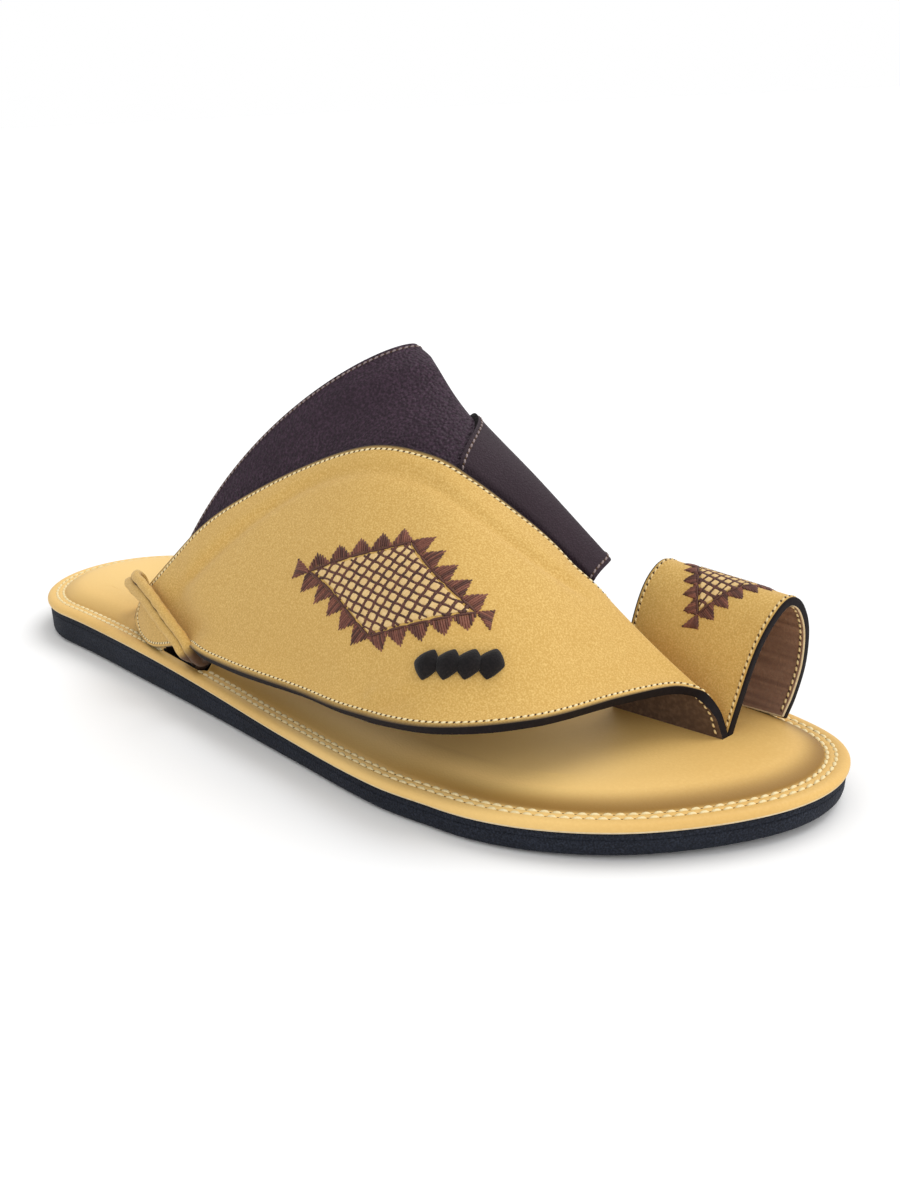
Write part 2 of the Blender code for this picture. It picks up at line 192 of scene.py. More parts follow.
def draw_up(name, rings, crown=None):
    """A sole layer: the outline as a disc, extruded once for each ring, with a grid at both ends."""
    bpy.ops.object.select_all(action="DESELECT")
    bpy.ops.mesh.primitive_circle_add(vertices=SOLE_POINTS, fill_type="NGON")
    layer = bpy.context.object
    layer.name = name
    bpy.ops.object.mode_set(mode="EDIT")
    bpy.ops.mesh.select_all(action="SELECT")
    for _ in rings[1:]:
        bpy.ops.mesh.extrude_region_move(TRANSFORM_OT_translate={"value": (0.0, 0.0, 1.0)})
    form = bmesh.from_edit_mesh(layer.data)
    rounds = [[None] * SOLE_POINTS for _ in rings]
    for corner in form.verts:
        turn = math.atan2(-corner.co.x, corner.co.y) / math.tau
        rounds[round(corner.co.z)][round(turn * SOLE_POINTS) % SOLE_POINTS] = corner
    for corners, ring in zip(rounds, rings):
        for corner, place in zip(corners, inset_outline(ring.inset)):
            corner.co = placed(Vector((place.x, place.y, ring.level(place.x) + ring.rise)))
    caps = [face for face in form.faces if len(face.verts) > 4]
    bmesh.ops.delete(form, geom=caps, context="FACES_ONLY")
    for corners, ring in ((rounds[0], rings[0]), (rounds[-1], rings[-1])):
        known = set(form.verts)
        bpy.ops.mesh.select_all(action="DESELECT")
        for corner in corners:
            corner.select = True
        form.select_flush(True)
        form.select_history.clear()
        form.select_history.add(corners[SOLE_POINTS // 8])
        bmesh.update_edit_mesh(layer.data)
        bpy.ops.mesh.fill_grid(span=SOLE_POINTS // 4)
        for corner in form.verts:
            if corner not in known:
                x = from_heel(corner.co.x)
                lift = crown(x, corner.co.y / MM) if crown and ring is rings[-1] else 0.0
                corner.co.z = (ring.level(x) + ring.rise + lift) * MM
    bpy.ops.mesh.select_all(action="SELECT")
    bpy.ops.mesh.normals_make_consistent(inside=False)
    bpy.ops.object.mode_set(mode="OBJECT")
    bpy.ops.object.shade_smooth_by_angle(angle=SHARP_ANGLE)
    return layer


def shown(red, green, blue):
    """A colour as a screen shows it, 0 to 255, as the shaders take it."""
    parts = (red / 255.0, green / 255.0, blue / 255.0)
    return (*(((part + 0.055) / 1.055) ** 2.4 for part in parts), 1.0)


def add_node(tree, kind, inputs=None, **settings):
    """A new node of a material or group. An input is given a value or another node's output."""
    node = tree.nodes.new(kind)
    for name, value in settings.items():
        setattr(node, name, value)
    for name, value in (inputs or {}).items():
        if isinstance(value, bpy.types.NodeSocket):
            tree.links.new(value, node.inputs[name])
        else:
            node.inputs[name].default_value = value
    return node


def mixed(tree, share, first, second):
    """A colour between two others. The node has sockets of the same name, so they are taken by number."""
    node = tree.nodes.new("ShaderNodeMix")
    node.data_type = "RGBA"
    for number, value in ((0, share), (6, first), (7, second)):
        if isinstance(value, bpy.types.NodeSocket):
            tree.links.new(value, node.inputs[number])
        else:
            node.inputs[number].default_value = value
    return node.outputs[2]


def ramped(tree, value, low, high, bottom=0.0, top=1.0):
    """A value spread from one range to another, and held inside it."""
    given = {"Value": value, "From Min": low, "From Max": high, "To Min": bottom, "To Max": top}
    return add_node(tree, "ShaderNodeMapRange", given).outputs["Result"]


def new_group(name, inputs, outputs):
    """A node group with its named sockets, and its own input and output nodes."""
    group = bpy.data.node_groups.new(name, "ShaderNodeTree")
    for socket, (kind, value) in inputs.items():
        group.interface.new_socket(socket, in_out="INPUT", socket_type=kind).default_value = value
    for socket, kind in outputs.items():
        group.interface.new_socket(socket, in_out="OUTPUT", socket_type=kind)
    return group, group.nodes.new("NodeGroupInput").outputs, group.nodes.new("NodeGroupOutput").inputs


FLOAT = "NodeSocketFloat"
COLOUR = "NodeSocketColor"
GREY = (0.5, 0.5, 0.5, 1.0)
FLECK_BAND = (0.42, 0.68)
CLOUD_BAND = (0.35, 0.7)
speckle, given, made = new_group(
    "speckle",
    {
        "Base": (COLOUR, GREY),
        "Fleck": (COLOUR, GREY),
        "Cloud": (COLOUR, GREY),
        "Fleck scale": (FLOAT, 1500.0),
        "Fleck share": (FLOAT, 0.5),
        "Cloud scale": (FLOAT, 30.0),
        "Cloud share": (FLOAT, 0.5),
    },
    {"Colour": COLOUR},
)
coords = add_node(speckle, "ShaderNodeTexCoord").outputs["Object"]
flecks = add_node(
    speckle, "ShaderNodeTexNoise", {"Vector": coords, "Scale": given["Fleck scale"], "Detail": 3.0}
)
clouds = add_node(
    speckle, "ShaderNodeTexNoise", {"Vector": coords, "Scale": given["Cloud scale"], "Detail": 4.0}
)
fleck_share = ramped(speckle, flecks.outputs["Fac"], *FLECK_BAND, 0.0, given["Fleck share"])
cloud_share = ramped(speckle, clouds.outputs["Fac"], *CLOUD_BAND, 0.0, given["Cloud share"])
flecked = mixed(speckle, fleck_share, given["Base"], given["Fleck"])
speckle.links.new(mixed(speckle, cloud_share, flecked, given["Cloud"]), made["Colour"])

PEBBLE_SOFTNESS = 0.35
PEBBLE_SCATTER = 0.9
PEBBLE_REACH = 0.75
grain, given, made = new_group(
    "hide_grain",
    {"Pebble scale": (FLOAT, 900.0), "Pebble share": (FLOAT, 1.0), "Nap scale": (FLOAT, 3000.0)},
    {"Height": FLOAT},
)
coords = add_node(grain, "ShaderNodeTexCoord").outputs["Object"]
pebbles = add_node(
    grain,
    "ShaderNodeTexVoronoi",
    {
        "Vector": coords,
        "Scale": given["Pebble scale"],
        "Smoothness": PEBBLE_SOFTNESS,
        "Randomness": PEBBLE_SCATTER,
    },
    feature="SMOOTH_F1",
)
domes = ramped(grain, pebbles.outputs["Distance"], 0.0, PEBBLE_REACH, 1.0, 0.0)
nap = add_node(grain, "ShaderNodeTexNoise", {"Vector": coords, "Scale": given["Nap scale"], "Detail": 3.0})
height = add_node(grain, "ShaderNodeMix", {"A": nap.outputs["Fac"], "B": domes})
grain.links.new(given["Pebble share"], height.inputs[0])
grain.links.new(height.outputs[0], made["Height"])


Tones = namedtuple("Tones", "base fleck cloud fleck_scale fleck_share cloud_scale cloud_share")
Relief = namedtuple("Relief", "pebble_scale pebble_share nap_scale depth")


def new_material(name, tones, relief, **sockets):
    """A material with speckled colour and a fine grain. The other values go on the shader's own sockets."""
    material = bpy.data.materials.new(name)
    material.use_nodes = True
    tree = material.node_tree
    shader = tree.nodes["Principled BSDF"]
    for socket, value in sockets.items():
        shader.inputs[socket.replace("_", " ")].default_value = value
    colour = add_node(tree, "ShaderNodeGroup", node_tree=speckle)
    for column, value in tones._asdict().items():
        held = shown(*value) if isinstance(value, tuple) else value
        colour.inputs[column.capitalize().replace("_", " ")].default_value = held
    tree.links.new(colour.outputs["Colour"], shader.inputs["Base Color"])
    surface = add_node(tree, "ShaderNodeGroup", node_tree=grain)
    surface.inputs["Pebble scale"].default_value = relief.pebble_scale
    surface.inputs["Pebble share"].default_value = relief.pebble_share
    surface.inputs["Nap scale"].default_value = relief.nap_scale
    height = surface.outputs["Height"]
    bump = add_node(tree, "ShaderNodeBump", {"Height": height, "Distance": relief.depth * MM})
    tree.links.new(bump.outputs["Normal"], shader.inputs["Normal"])
    return material


rubber = new_material(
    "cellular_rubber",
    Tones((23, 26, 34), (60, 66, 80), (18, 20, 27), 2200.0, 0.55, 45.0, 0.5),
    Relief(1500.0, 0.5, 2500.0, 0.25),
    Roughness=0.72,
    Specular_IOR_Level=0.15,
)
outsole = draw_up("rubber_outsole", OUTSOLE_RINGS)
outsole.data.materials.append(rubber)
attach(outsole, "root")
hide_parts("outsole")

# Insole: a board wrapped in golden tan leather, with a soft foam pad under the middle of the hide. The
# wrapped rim is flat, its two sewn rows are pressed in, and a slot is punched through beside the arch.
RIM_THICKNESS = 2.7
PAD_RISE = 3.3
PAD_START = 6.1
PAD_END = 20.0
PAD_FULLNESS = 0.65
SEWN_ROWS = (3.4, 5.5)
SEWN_DEPTH = 0.3
SEWN_HALF_WIDTH = 0.75
PAD_DISH = 0.35
# Painted shade: a band along the foot of the pad, just inside the sewn rows, is coloured darker for the
# shade on that slope, more so towards the toe.
PAD_FOOT_SHADE_START = 5.6
PAD_FOOT_SHADE_RISE = 0.8
PAD_FOOT_SHADE_REACH = 7.0
PAD_FOOT_SHADE_LEAST = 0.3
PAD_FOOT_SHADE_GROWTH = 0.35
PAD_FOOT_SHADE_STEPS = (60.0, 180.0)
PAD_FOOT_SHADE_STEP_LENGTH = 60.0
# Painted light: round patches of the footbed at the heel, in front of the vamp and under its outer edge are
# coloured lighter for the light on them.
PAINTED_LIGHT_SPOTS = (Vector((24.0, 4.0)), Vector((220.0, -26.0)), Vector((185.0, -32.0)))
PAINTED_LIGHT_REACH = 55.0
PAD_WAVE = 45.0
SLOT_START = Vector((91.5, -33.0))
SLOT_END = Vector((110.0, -35.0))
SLOT_HALF_WIDTH = 2.4
SLOT_DEPTH = 3.0
PUNCH_HEIGHT = 9.0
PUNCH_POINTS = 32
# Below this height the wrap is pale: its raw lower edge, with painted bounce light from the floor on its
# underside.
RAW_AND_LIT_EDGE_HEIGHT = 0.6
WRAP_RINGS = (
    Ring(1.3, outsole_top, 0.02),
    Ring(0.55, outsole_top, 0.1),
    Ring(0.2, outsole_top, 0.35),
    Ring(0.05, outsole_top, 0.75),
    Ring(0.0, outsole_top, 1.2),
    Ring(0.08, outsole_top, 1.65),
    Ring(0.4, outsole_top, 2.15),
    Ring(0.95, outsole_top, 2.55),
)
TOP_INSETS = (
    *(1.7, 2.3, 2.8, 3.1, 3.4, 3.7, 4.0, 4.5, 4.9, 5.2, 5.5, 5.8, 6.1, 6.3),
    *(6.6, 7.0, 7.5, 8.1, 8.8, 9.6, 10.6, 11.8, 13.2, 15.0, 17.0, 19.0),
)


def footbed_rise(inset):
    """Height of the insole over the outsole: the rim with its pressed rows, and the pad inside it."""
    share = min(max((inset - PAD_START) / (PAD_END - PAD_START), 0.0), 1.0)
    pad = (1.0 - (1.0 - share) ** 2) ** PAD_FULLNESS
    pressed = max(1.0 - smooth_step(abs(inset - row) / SEWN_HALF_WIDTH) for row in SEWN_ROWS)
    return RIM_THICKNESS + PAD_RISE * pad - SEWN_DEPTH * pressed


def pad_crown(x, y):
    """The soft pad's slow unevenness."""
    return PAD_DISH * noise.noise(Vector((x / PAD_WAVE, y / PAD_WAVE, 0.0)))


insole_rings = WRAP_RINGS + tuple(Ring(inset, outsole_top, footbed_rise(inset)) for inset in TOP_INSETS)
insole = draw_up("leather_insole", insole_rings, pad_crown)
# Painted shade at the foot of the pad, growing from the heel to the toe.
pad_foot_shade = insole.data.attributes.new("pad_foot_shade", "FLOAT", "POINT")
for number, mark in enumerate(pad_foot_shade.data):
    inset = insole_rings[min(number // SOLE_POINTS, len(insole_rings) - 1)].inset
    x = from_heel(insole.data.vertices[number].co.x)
    rise = smooth_step((inset - PAD_FOOT_SHADE_START) / PAD_FOOT_SHADE_RISE)
    fade = 1.0 - smooth_step((inset - PAD_FOOT_SHADE_START - PAD_FOOT_SHADE_RISE) / PAD_FOOT_SHADE_REACH)
    growth = sum(smooth_step((x - start) / PAD_FOOT_SHADE_STEP_LENGTH) for start in PAD_FOOT_SHADE_STEPS)
    mark.value = rise * fade * (PAD_FOOT_SHADE_LEAST + PAD_FOOT_SHADE_GROWTH * growth)
# Painted light on the footbed, strongest at each spot and fading over its reach.
painted_light = insole.data.attributes.new("painted_light", "FLOAT", "POINT")
for corner, mark in zip(insole.data.vertices, painted_light.data):
    place = Vector((from_heel(corner.co.x), corner.co.y / MM))
    mark.value = max(1.0 - smooth_step((place - spot).length / PAINTED_LIGHT_REACH) for spot in PAINTED_LIGHT_SPOTS)
footbed_leather = new_material(
    "golden_footbed_leather",
    Tones((221, 180, 106), (232, 194, 122), (211, 166, 90), 1300.0, 0.45, 22.0, 0.45),
    Relief(1600.0, 0.4, 2600.0, 0.06),
    Roughness=0.52,
    Specular_IOR_Level=0.25,
)


def mark_with(material, attribute, colour, share=1.0, start=0.0):
    """Brings a colour into a material where its mesh carries a mark, from a start value of the mark."""
    tree = material.node_tree
    shader = tree.nodes["Principled BSDF"]
    plain = shader.inputs["Base Color"].links[0].from_socket
    mark = add_node(tree, "ShaderNodeAttribute", attribute_name=attribute).outputs["Fac"]
    strength = ramped(tree, mark, start, 1.0, 0.0, share)
    tree.links.new(mixed(tree, strength, plain, colour), shader.inputs["Base Color"])


# Painted light: the lighter patches of the footbed.
mark_with(footbed_leather, "painted_light", shown(252, 214, 140), 0.7)
# Painted shade on the slope at the foot of the pad.
mark_with(footbed_leather, "pad_foot_shade", shown(138, 101, 40), 0.95)
# Pale raw edge of the leather; on the insole's underside it also paints the bounce light from the floor.
raw_edge_and_bounce_light = new_material(
    "pale_raw_edge_and_bounce_light",
    Tones((222, 200, 158), (196, 168, 120), (232, 214, 178), 1200.0, 0.6, 60.0, 0.4),
    Relief(1500.0, 0.2, 2200.0, 0.1),
    Roughness=0.8,
)
# Painted shade: the walls of the punched slot are coloured near black for the shade inside the hole.
slot_shade = new_material(
    "painted_slot_shade",
    Tones((34, 24, 20), (52, 38, 30), (24, 17, 14), 1500.0, 0.5, 200.0, 0.4),
    Relief(1500.0, 0.2, 2200.0, 0.1),
    Roughness=0.95,
)
for finish in (footbed_leather, raw_edge_and_bounce_light, slot_shade):
    insole.data.materials.append(finish)
# The lowest band of the wrap takes the pale edge: the raw edge of the leather, and painted bounce light
# from the floor.
for cell in insole.data.polygons:
    height = cell.center.z / MM - outsole_top(from_heel(cell.center.x))
    cell.material_index = 1 if height < RAW_AND_LIT_EDGE_HEIGHT else 0

bpy.ops.object.select_all(action="DESELECT")
bpy.ops.mesh.primitive_circle_add(vertices=PUNCH_POINTS, radius=SLOT_HALF_WIDTH * MM, fill_type="NGON")
punch = bpy.context.object
slot_run = (SLOT_END - SLOT_START).normalized()
for corner in punch.data.vertices:
    end = SLOT_END if corner.co.xy.dot(slot_run) > 0.0 else SLOT_START
    depth = outsole_top(end.x) + RIM_THICKNESS - SLOT_DEPTH
    corner.co = placed(Vector((end.x, end.y, depth))) + corner.co
bpy.ops.object.mode_set(mode="EDIT")
bpy.ops.mesh.select_all(action="SELECT")
bpy.ops.mesh.extrude_region_move(TRANSFORM_OT_translate={"value": (0.0, 0.0, PUNCH_HEIGHT * MM)})
bpy.ops.mesh.select_all(action="SELECT")
bpy.ops.mesh.normals_make_consistent(inside=False)
bpy.ops.object.mode_set(mode="OBJECT")
punch.data.materials.append(slot_shade)
cut = insole.modifiers.new("slot", "BOOLEAN")
cut.operation = "DIFFERENCE"
cut.object = punch
cut.material_mode = "TRANSFER"
bpy.context.view_layer.objects.active = insole
bpy.ops.object.modifier_apply(modifier=cut.name)
bpy.data.objects.remove(punch)
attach(insole, "root")
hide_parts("insole")

# Sole seams: two rows of waxed cream thread, sewn by machine through the rim of the insole. Each stitch
# is a bead of thread whose ends turn down into its needle holes.
SOLE_PITCH = 2.9
SOLE_STITCH = Vector((2.5, 1.05, 0.9))
SOLE_SLANT = math.radians(7.0)
SOLE_HOLE = Vector((0.5, 0.4, 0.22))
SOLE_DROOP = 0.35
SOLE_LIFT = 0.14
SLOT_CLEAR = 0.9
BEAD_SIDES = 8
BEAD_RINGS = 6
BEAD_SQUARENESS = 4
cream_thread = new_material(
    "waxed_cream_thread",
    Tones((236, 217, 165), (214, 188, 130), (244, 230, 188), 3500.0, 0.6, 150.0, 0.4),
    Relief(2500.0, 0.3, 4500.0, 0.1),
    Roughness=0.6,
)
# Painted shade: each needle hole is a small dark bead on the surface, standing for the shade in the hole.
needle_hole_shade = new_material(
    "needle_hole_shade",
    Tones((70, 47, 28), (50, 34, 20), (84, 58, 36), 3000.0, 0.5, 150.0, 0.4),
    Relief(2500.0, 0.3, 4500.0, 0.05),
    Roughness=0.9,
)


def model_bead(size, droop):
    """One bead of thread, long in X, with its ends bent down."""
    bpy.ops.object.select_all(action="DESELECT")
    bpy.ops.mesh.primitive_uv_sphere_add(
        segments=BEAD_SIDES, ring_count=BEAD_RINGS, radius=0.5, rotation=(0.0, math.pi / 2.0, 0.0)
    )
    bead = bpy.context.object
    bpy.ops.object.transform_apply(location=False, rotation=True, scale=False)
    for corner in bead.data.vertices:
        full = 1.0 - (2.0 * abs(corner.co.x)) ** BEAD_SQUARENESS
        flat = 0.5 * math.sqrt(max(full, 0.0)) / max(math.hypot(corner.co.y, corner.co.z), 0.001)
        wide = Vector((corner.co.x, corner.co.y * flat, corner.co.z * flat))
        drop = droop * (2.0 * wide.x) ** 2
        corner.co = Vector((wide.x * size.x, wide.y * size.y, wide.z * size.z - drop))
    return bead


def even_places(line, pitch):
    """Places at an even pitch along a line of points, each with the run of the line and the way out."""
    runs = [(line[k + 1][0] - line[k][0]).length for k in range(len(line) - 1)]
    count = max(round(sum(runs) / pitch), 1)
    places = []
    passed = 0.0
    k = 0
    for number in range(count):
        at = (number + 0.5) * sum(runs) / count
        while k < len(runs) - 1 and passed + runs[k] < at:
            passed += runs[k]
            k += 1
        share = (at - passed) / runs[k]
        ahead = (line[k + 1][0] - line[k][0]).normalized()
        place = line[k][0].lerp(line[k + 1][0], share)
        outwards = line[k][1].lerp(line[k + 1][1], share)
        places.append((place, ahead, outwards))
    return places


def set_piece(mesh, finish):
    """Puts a finished mesh on the shoe, as a piece of one material."""
    mesh.shade_smooth()
    mesh.materials.append(finish)
    piece = bpy.data.objects.new(mesh.name, mesh)
    bpy.context.scene.collection.objects.link(piece)
    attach(piece, "root")
    return piece


def lay_beads(name, bead, places, slant, finish):
    """Copies of one bead at each place, as one mesh."""
    corners = [corner.co.copy() for corner in bead.data.vertices]
    cells = [tuple(cell.vertices) for cell in bead.data.polygons]
    bpy.data.objects.remove(bead)
    points = []
    faces = []
    for place, ahead, outwards in places:
        aside = outwards.cross(ahead).normalized()
        run = ahead * math.cos(slant) + aside * math.sin(slant)
        aside = outwards.cross(run).normalized()
        start = len(points)
        points += [placed(place + run * c.x + aside * c.y + outwards * c.z) for c in corners]
        faces += [tuple(start + number for number in cell) for cell in cells]
    mesh = bpy.data.meshes.new(name)
    mesh.from_pydata(points, [], faces)
    return set_piece(mesh, finish)


def segment_distance(place, start, end):
    run = end - start
    share = min(max((place - start).dot(run) / run.length_squared, 0.0), 1.0)
    return (place - start - run * share).length


def slot_distance(place):
    return segment_distance(place.xy, SLOT_START, SLOT_END)


UPWARDS = Vector((0.0, 0.0, 1.0))
sole_stitches = []
sole_holes = []
for inset in SEWN_ROWS:
    line = []
    for place in inset_outline(inset) + inset_outline(inset)[:1]:
        height = outsole_top(place.x) + footbed_rise(inset)
        line.append((Vector((place.x, place.y, height)), UPWARDS))
    clear = SLOT_HALF_WIDTH + SLOT_CLEAR
    stitches = [at for at in even_places(line, SOLE_PITCH) if slot_distance(at[0]) > clear]
    for place, ahead, outwards in stitches:
        sole_stitches.append((place + UPWARDS * SOLE_LIFT, ahead, outwards))
        sole_holes.append((place + ahead * SOLE_PITCH / 2.0, ahead, outwards))
sole_bead = model_bead(SOLE_STITCH, SOLE_DROOP)
sole_seam = lay_beads("sole_seam", sole_bead, sole_stitches, SOLE_SLANT, cream_thread)
lay_beads("sole_needle_holes", model_bead(SOLE_HOLE, 0.0), sole_holes, 0.0, needle_hole_shade)

# Vamp: one panel of tan nubuck with a brown lining, wrapped from the outer arch over the small toes to a
# slot beside the big toe. Its cut edge is painted black. The hem of the panel under it shows through as
# a soft step, and the leather is pulled in where the thong crosses its tail.
VAMP_WALL = 2.4
NEAR = 0.05
Vamp = namedtuple("Vamp", "upper_x upper_y upper_z lower_x lower_y lower_z crown")
VAMP_ROWS = (
    Vamp(67.0, -27.0, 20.5, 69.0, -31.0, 14.6, 0.0),
    Vamp(79.0, -31.0, 29.0, 88.0, -37.4, 13.6, 0.5),
    Vamp(94.0, -28.0, 43.0, 112.0, -40.0, 20.5, 1.5),
    Vamp(110.0, -23.0, 56.5, 127.5, -42.0, 21.0, 2.5),
    Vamp(136.0, -15.0, 71.0, 144.0, -44.0, 21.5, 4.0),
    Vamp(159.0, -10.0, 79.5, 167.0, -45.5, 22.5, 5.0),
    Vamp(176.5, -5.5, 78.5, 188.0, -48.0, 23.5, 5.5),
    Vamp(188.0, -2.0, 73.0, 214.0, -47.3, 26.0, 5.5),
    Vamp(202.5, 4.0, 62.0, 231.0, -33.5, 27.5, 4.0),
    Vamp(211.0, 7.5, 54.0, 238.0, -9.0, 27.0, 2.0),
    Vamp(218.0, 10.0, 48.0, 243.5, 8.5, 26.0, 0.7),
    Vamp(221.0, 12.5, 42.5, 249.0, 14.0, 24.8, 0.0),
    Vamp(222.0, 15.5, 34.0, 252.0, 16.2, 20.8, 0.0),
    Vamp(221.0, 17.5, 22.0, 253.6, 17.0, 16.0, 0.0),
    Vamp(220.0, 18.0, 11.0, 254.9, 17.3, 11.0, 0.0),
)
LAST_ROW = len(VAMP_ROWS) - 1.0
TAIL_ROUND = 0.5
TAIL_END = 0.4
VAMP_COLUMNS = 190
VAMP_LINES = 46
EDGE_ROUND = 0.6
EDGE_SEGMENTS = 3
LEATHER_SMOOTH = math.radians(60.0)
Step = namedtuple("Step", "row up")
HEM_STEP = (
    Step(1.6, 0.60),
    Step(2.6, 0.68),
    Step(3.5, 0.80),
    Step(4.2, 0.88),
    Step(5.2, 0.90),
    Step(6.2, 0.895),
    Step(7.2, 0.85),
    Step(8.2, 0.78),
    Step(9.4, 0.72),
)
HEM_STEP_RISE = 0.6
HEM_STEP_TROUGH = 0.95
HEM_STEP_HALF_WIDTH = 2.2
HEM_STEP_FADE = 0.8
FLARE = 2.7
FLARE_REACH = 7.5
FLARE_START = 1.2
FLARE_START_RUN = 1.2
FLARE_END = 11.5
FLARE_END_RUN = 2.0
REAR_FLARE = 1.2
REAR_FLARE_END = 5.5
REAR_FLARE_RUN = 2.0
Crease = namedtuple("Crease", "row up end_row end_up height half_width")
CREASES = (
    Crease(6.26, 0.068, 6.68, 0.118, 1.2, 1.6),
    Crease(6.30, 0.035, 6.65, 0.085, -0.5, 2.2),
    Crease(1.75, 0.50, 2.10, 0.12, -2.0, 6.5),
    Crease(2.0, 0.62, 3.3, 0.70, -0.6, 5.0),
    Crease(7.6, 0.14, 8.6, 0.30, -0.9, 6.0),
    Crease(8.3, 0.25, 9.2, 0.20, 0.5, 4.0),
)
WAVE_HEIGHT = 0.35
WAVE_LENGTH = 38.0


@lru_cache(maxsize=None)
def vamp_edges(row):
    """The upper and lower edge points of the vamp at a row."""
    at = along(VAMP_ROWS, row)
    return Vector((at.upper_x, at.upper_y, at.upper_z)), Vector((at.lower_x, at.lower_y, at.lower_z))


@lru_cache(maxsize=None)
def vamp_bulge(row):
    """Four times the crown of the vamp at a row, for a parabola that is a quarter high in its middle."""
    upper, lower = vamp_edges(row)
    ahead = sum(vamp_edges(row + NEAR), Vector()) - sum(vamp_edges(row - NEAR), Vector())
    return ahead.cross(upper - lower).normalized() * along(VAMP_ROWS, row).crown * 4.0


def vamp_skin(row, up):
    """The vamp's smooth outer face: straight across at each row, crowned in its middle."""
    upper, lower = vamp_edges(row)
    return lower.lerp(upper, up) + vamp_bulge(row) * up * (1.0 - up)


def vamp_outwards(row, up):
    ahead = vamp_skin(row + NEAR, up) - vamp_skin(row - NEAR, up)
    upper, lower = vamp_edges(row)
    across = upper - lower + vamp_bulge(row) * (1.0 - 2.0 * up)
    return ahead.cross(across).normalized()


def vamp_width(row):
    upper, lower = vamp_edges(row)
    return (upper - lower).length


CREASE_LINES = [
    (vamp_skin(crease.row, crease.up), vamp_skin(crease.end_row, crease.end_up), crease)
    for crease in CREASES
]


def vamp_relief(row, up):
    """Soft steps, creases and waves of the leather, in and out of its smooth face."""
    place = vamp_skin(row, up)
    lift = WAVE_HEIGHT * noise.noise(place / WAVE_LENGTH)
    above = (up - along(HEM_STEP, row, "row").up) * vamp_width(row)
    held = smooth_step((row - HEM_STEP[0].row) / HEM_STEP_FADE)
    held *= smooth_step((HEM_STEP[-1].row - row) / HEM_STEP_FADE)
    lift += held * HEM_STEP_RISE * smooth_step(above / HEM_STEP_HALF_WIDTH)
    lift -= held * HEM_STEP_TROUGH * math.exp(-((above / HEM_STEP_HALF_WIDTH) ** 2))
    flared = smooth_step((row - FLARE_START) / FLARE_START_RUN)
    flared *= smooth_step((FLARE_END - row) / FLARE_END_RUN)
    flare = FLARE + REAR_FLARE * smooth_step((REAR_FLARE_END - row) / REAR_FLARE_RUN)
    lift += flared * flare * max(1.0 - up * vamp_width(row) / FLARE_REACH, 0.0) ** 2
    for start, end, crease in CREASE_LINES:
        lift += crease.height * math.exp(-((segment_distance(place, start, end) / crease.half_width) ** 2))
    return lift


def vamp_place(row, up):
    return vamp_skin(row, up) + vamp_outwards(row, up) * vamp_relief(row, up)


def vamp_sheet_place(row, share):
    """A place on the cut panel, whose tail is round."""
    full = 1.0 - (1.0 - min(row / TAIL_ROUND, 1.0)) ** 2
    narrow = TAIL_END + (1.0 - TAIL_END) * math.sqrt(full)
    return vamp_place(row, 0.5 + (share - 0.5) * narrow)


def make_sheet(name, columns, rows, place):
    """A grid with a corner at each column and row, bent to its place on the shoe."""
    bpy.ops.object.select_all(action="DESELECT")
    bpy.ops.mesh.primitive_grid_add(x_subdivisions=len(columns) - 1, y_subdivisions=len(rows) - 1, size=1.0)
    sheet = bpy.context.object
    sheet.name = name
    for corner in sheet.data.vertices:
        i = round((corner.co.x + 0.5) * (len(columns) - 1))
        j = round((corner.co.y + 0.5) * (len(rows) - 1))
        corner.co = placed(place(columns[i], rows[j]))
    return sheet


FACE, LINING, PAINT, RAW = range(4)
LINING_WEIGHT = 0.9


def give_wall(sheet, wall, finishes):
    """Gives a sheet its wall: a face, a lining, and rounded edges with paint and the lining's raw edge."""
    for finish in finishes:
        sheet.data.materials.append(finish)
    cut_edge = sheet.data.attributes.new("cut_edge", "FLOAT", "POINT")
    form = bmesh.new()
    form.from_mesh(sheet.data)
    for corner in form.verts:
        cut_edge.data[corner.index].value = 1.0 if corner.is_boundary else 0.0
    form.free()
    inner = sheet.vertex_groups.new(name="inner")
    lined = sheet.modifiers.new("wall", "SOLIDIFY")
    lined.shell_vertex_group = inner.name
    lined.thickness = wall * MM
    lined.offset = -1.0
    lined.material_offset = LINING - FACE
    lined.material_offset_rim = PAINT - FACE
    rounded = sheet.modifiers.new("cut edge", "BEVEL")
    rounded.width = EDGE_ROUND * MM
    rounded.segments = EDGE_SEGMENTS
    rounded.material = PAINT
    rounded.limit_method = "ANGLE"
    rounded.angle_limit = SHARP_ANGLE
    bpy.context.view_layer.objects.active = sheet
    bpy.ops.object.modifier_apply(modifier=lined.name)
    bpy.ops.object.modifier_apply(modifier=rounded.name)
    for cell in sheet.data.polygons:
        depths = [sum(group.weight for group in sheet.data.vertices[k].groups) for k in cell.vertices]
        if cell.material_index == PAINT and min(depths) > LINING_WEIGHT:
            cell.material_index = RAW
    sheet.vertex_groups.clear()
    bpy.ops.object.select_all(action="DESELECT")
    sheet.select_set(True)
    bpy.ops.object.shade_smooth_by_angle(angle=LEATHER_SMOOTH)
    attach(sheet, "root")


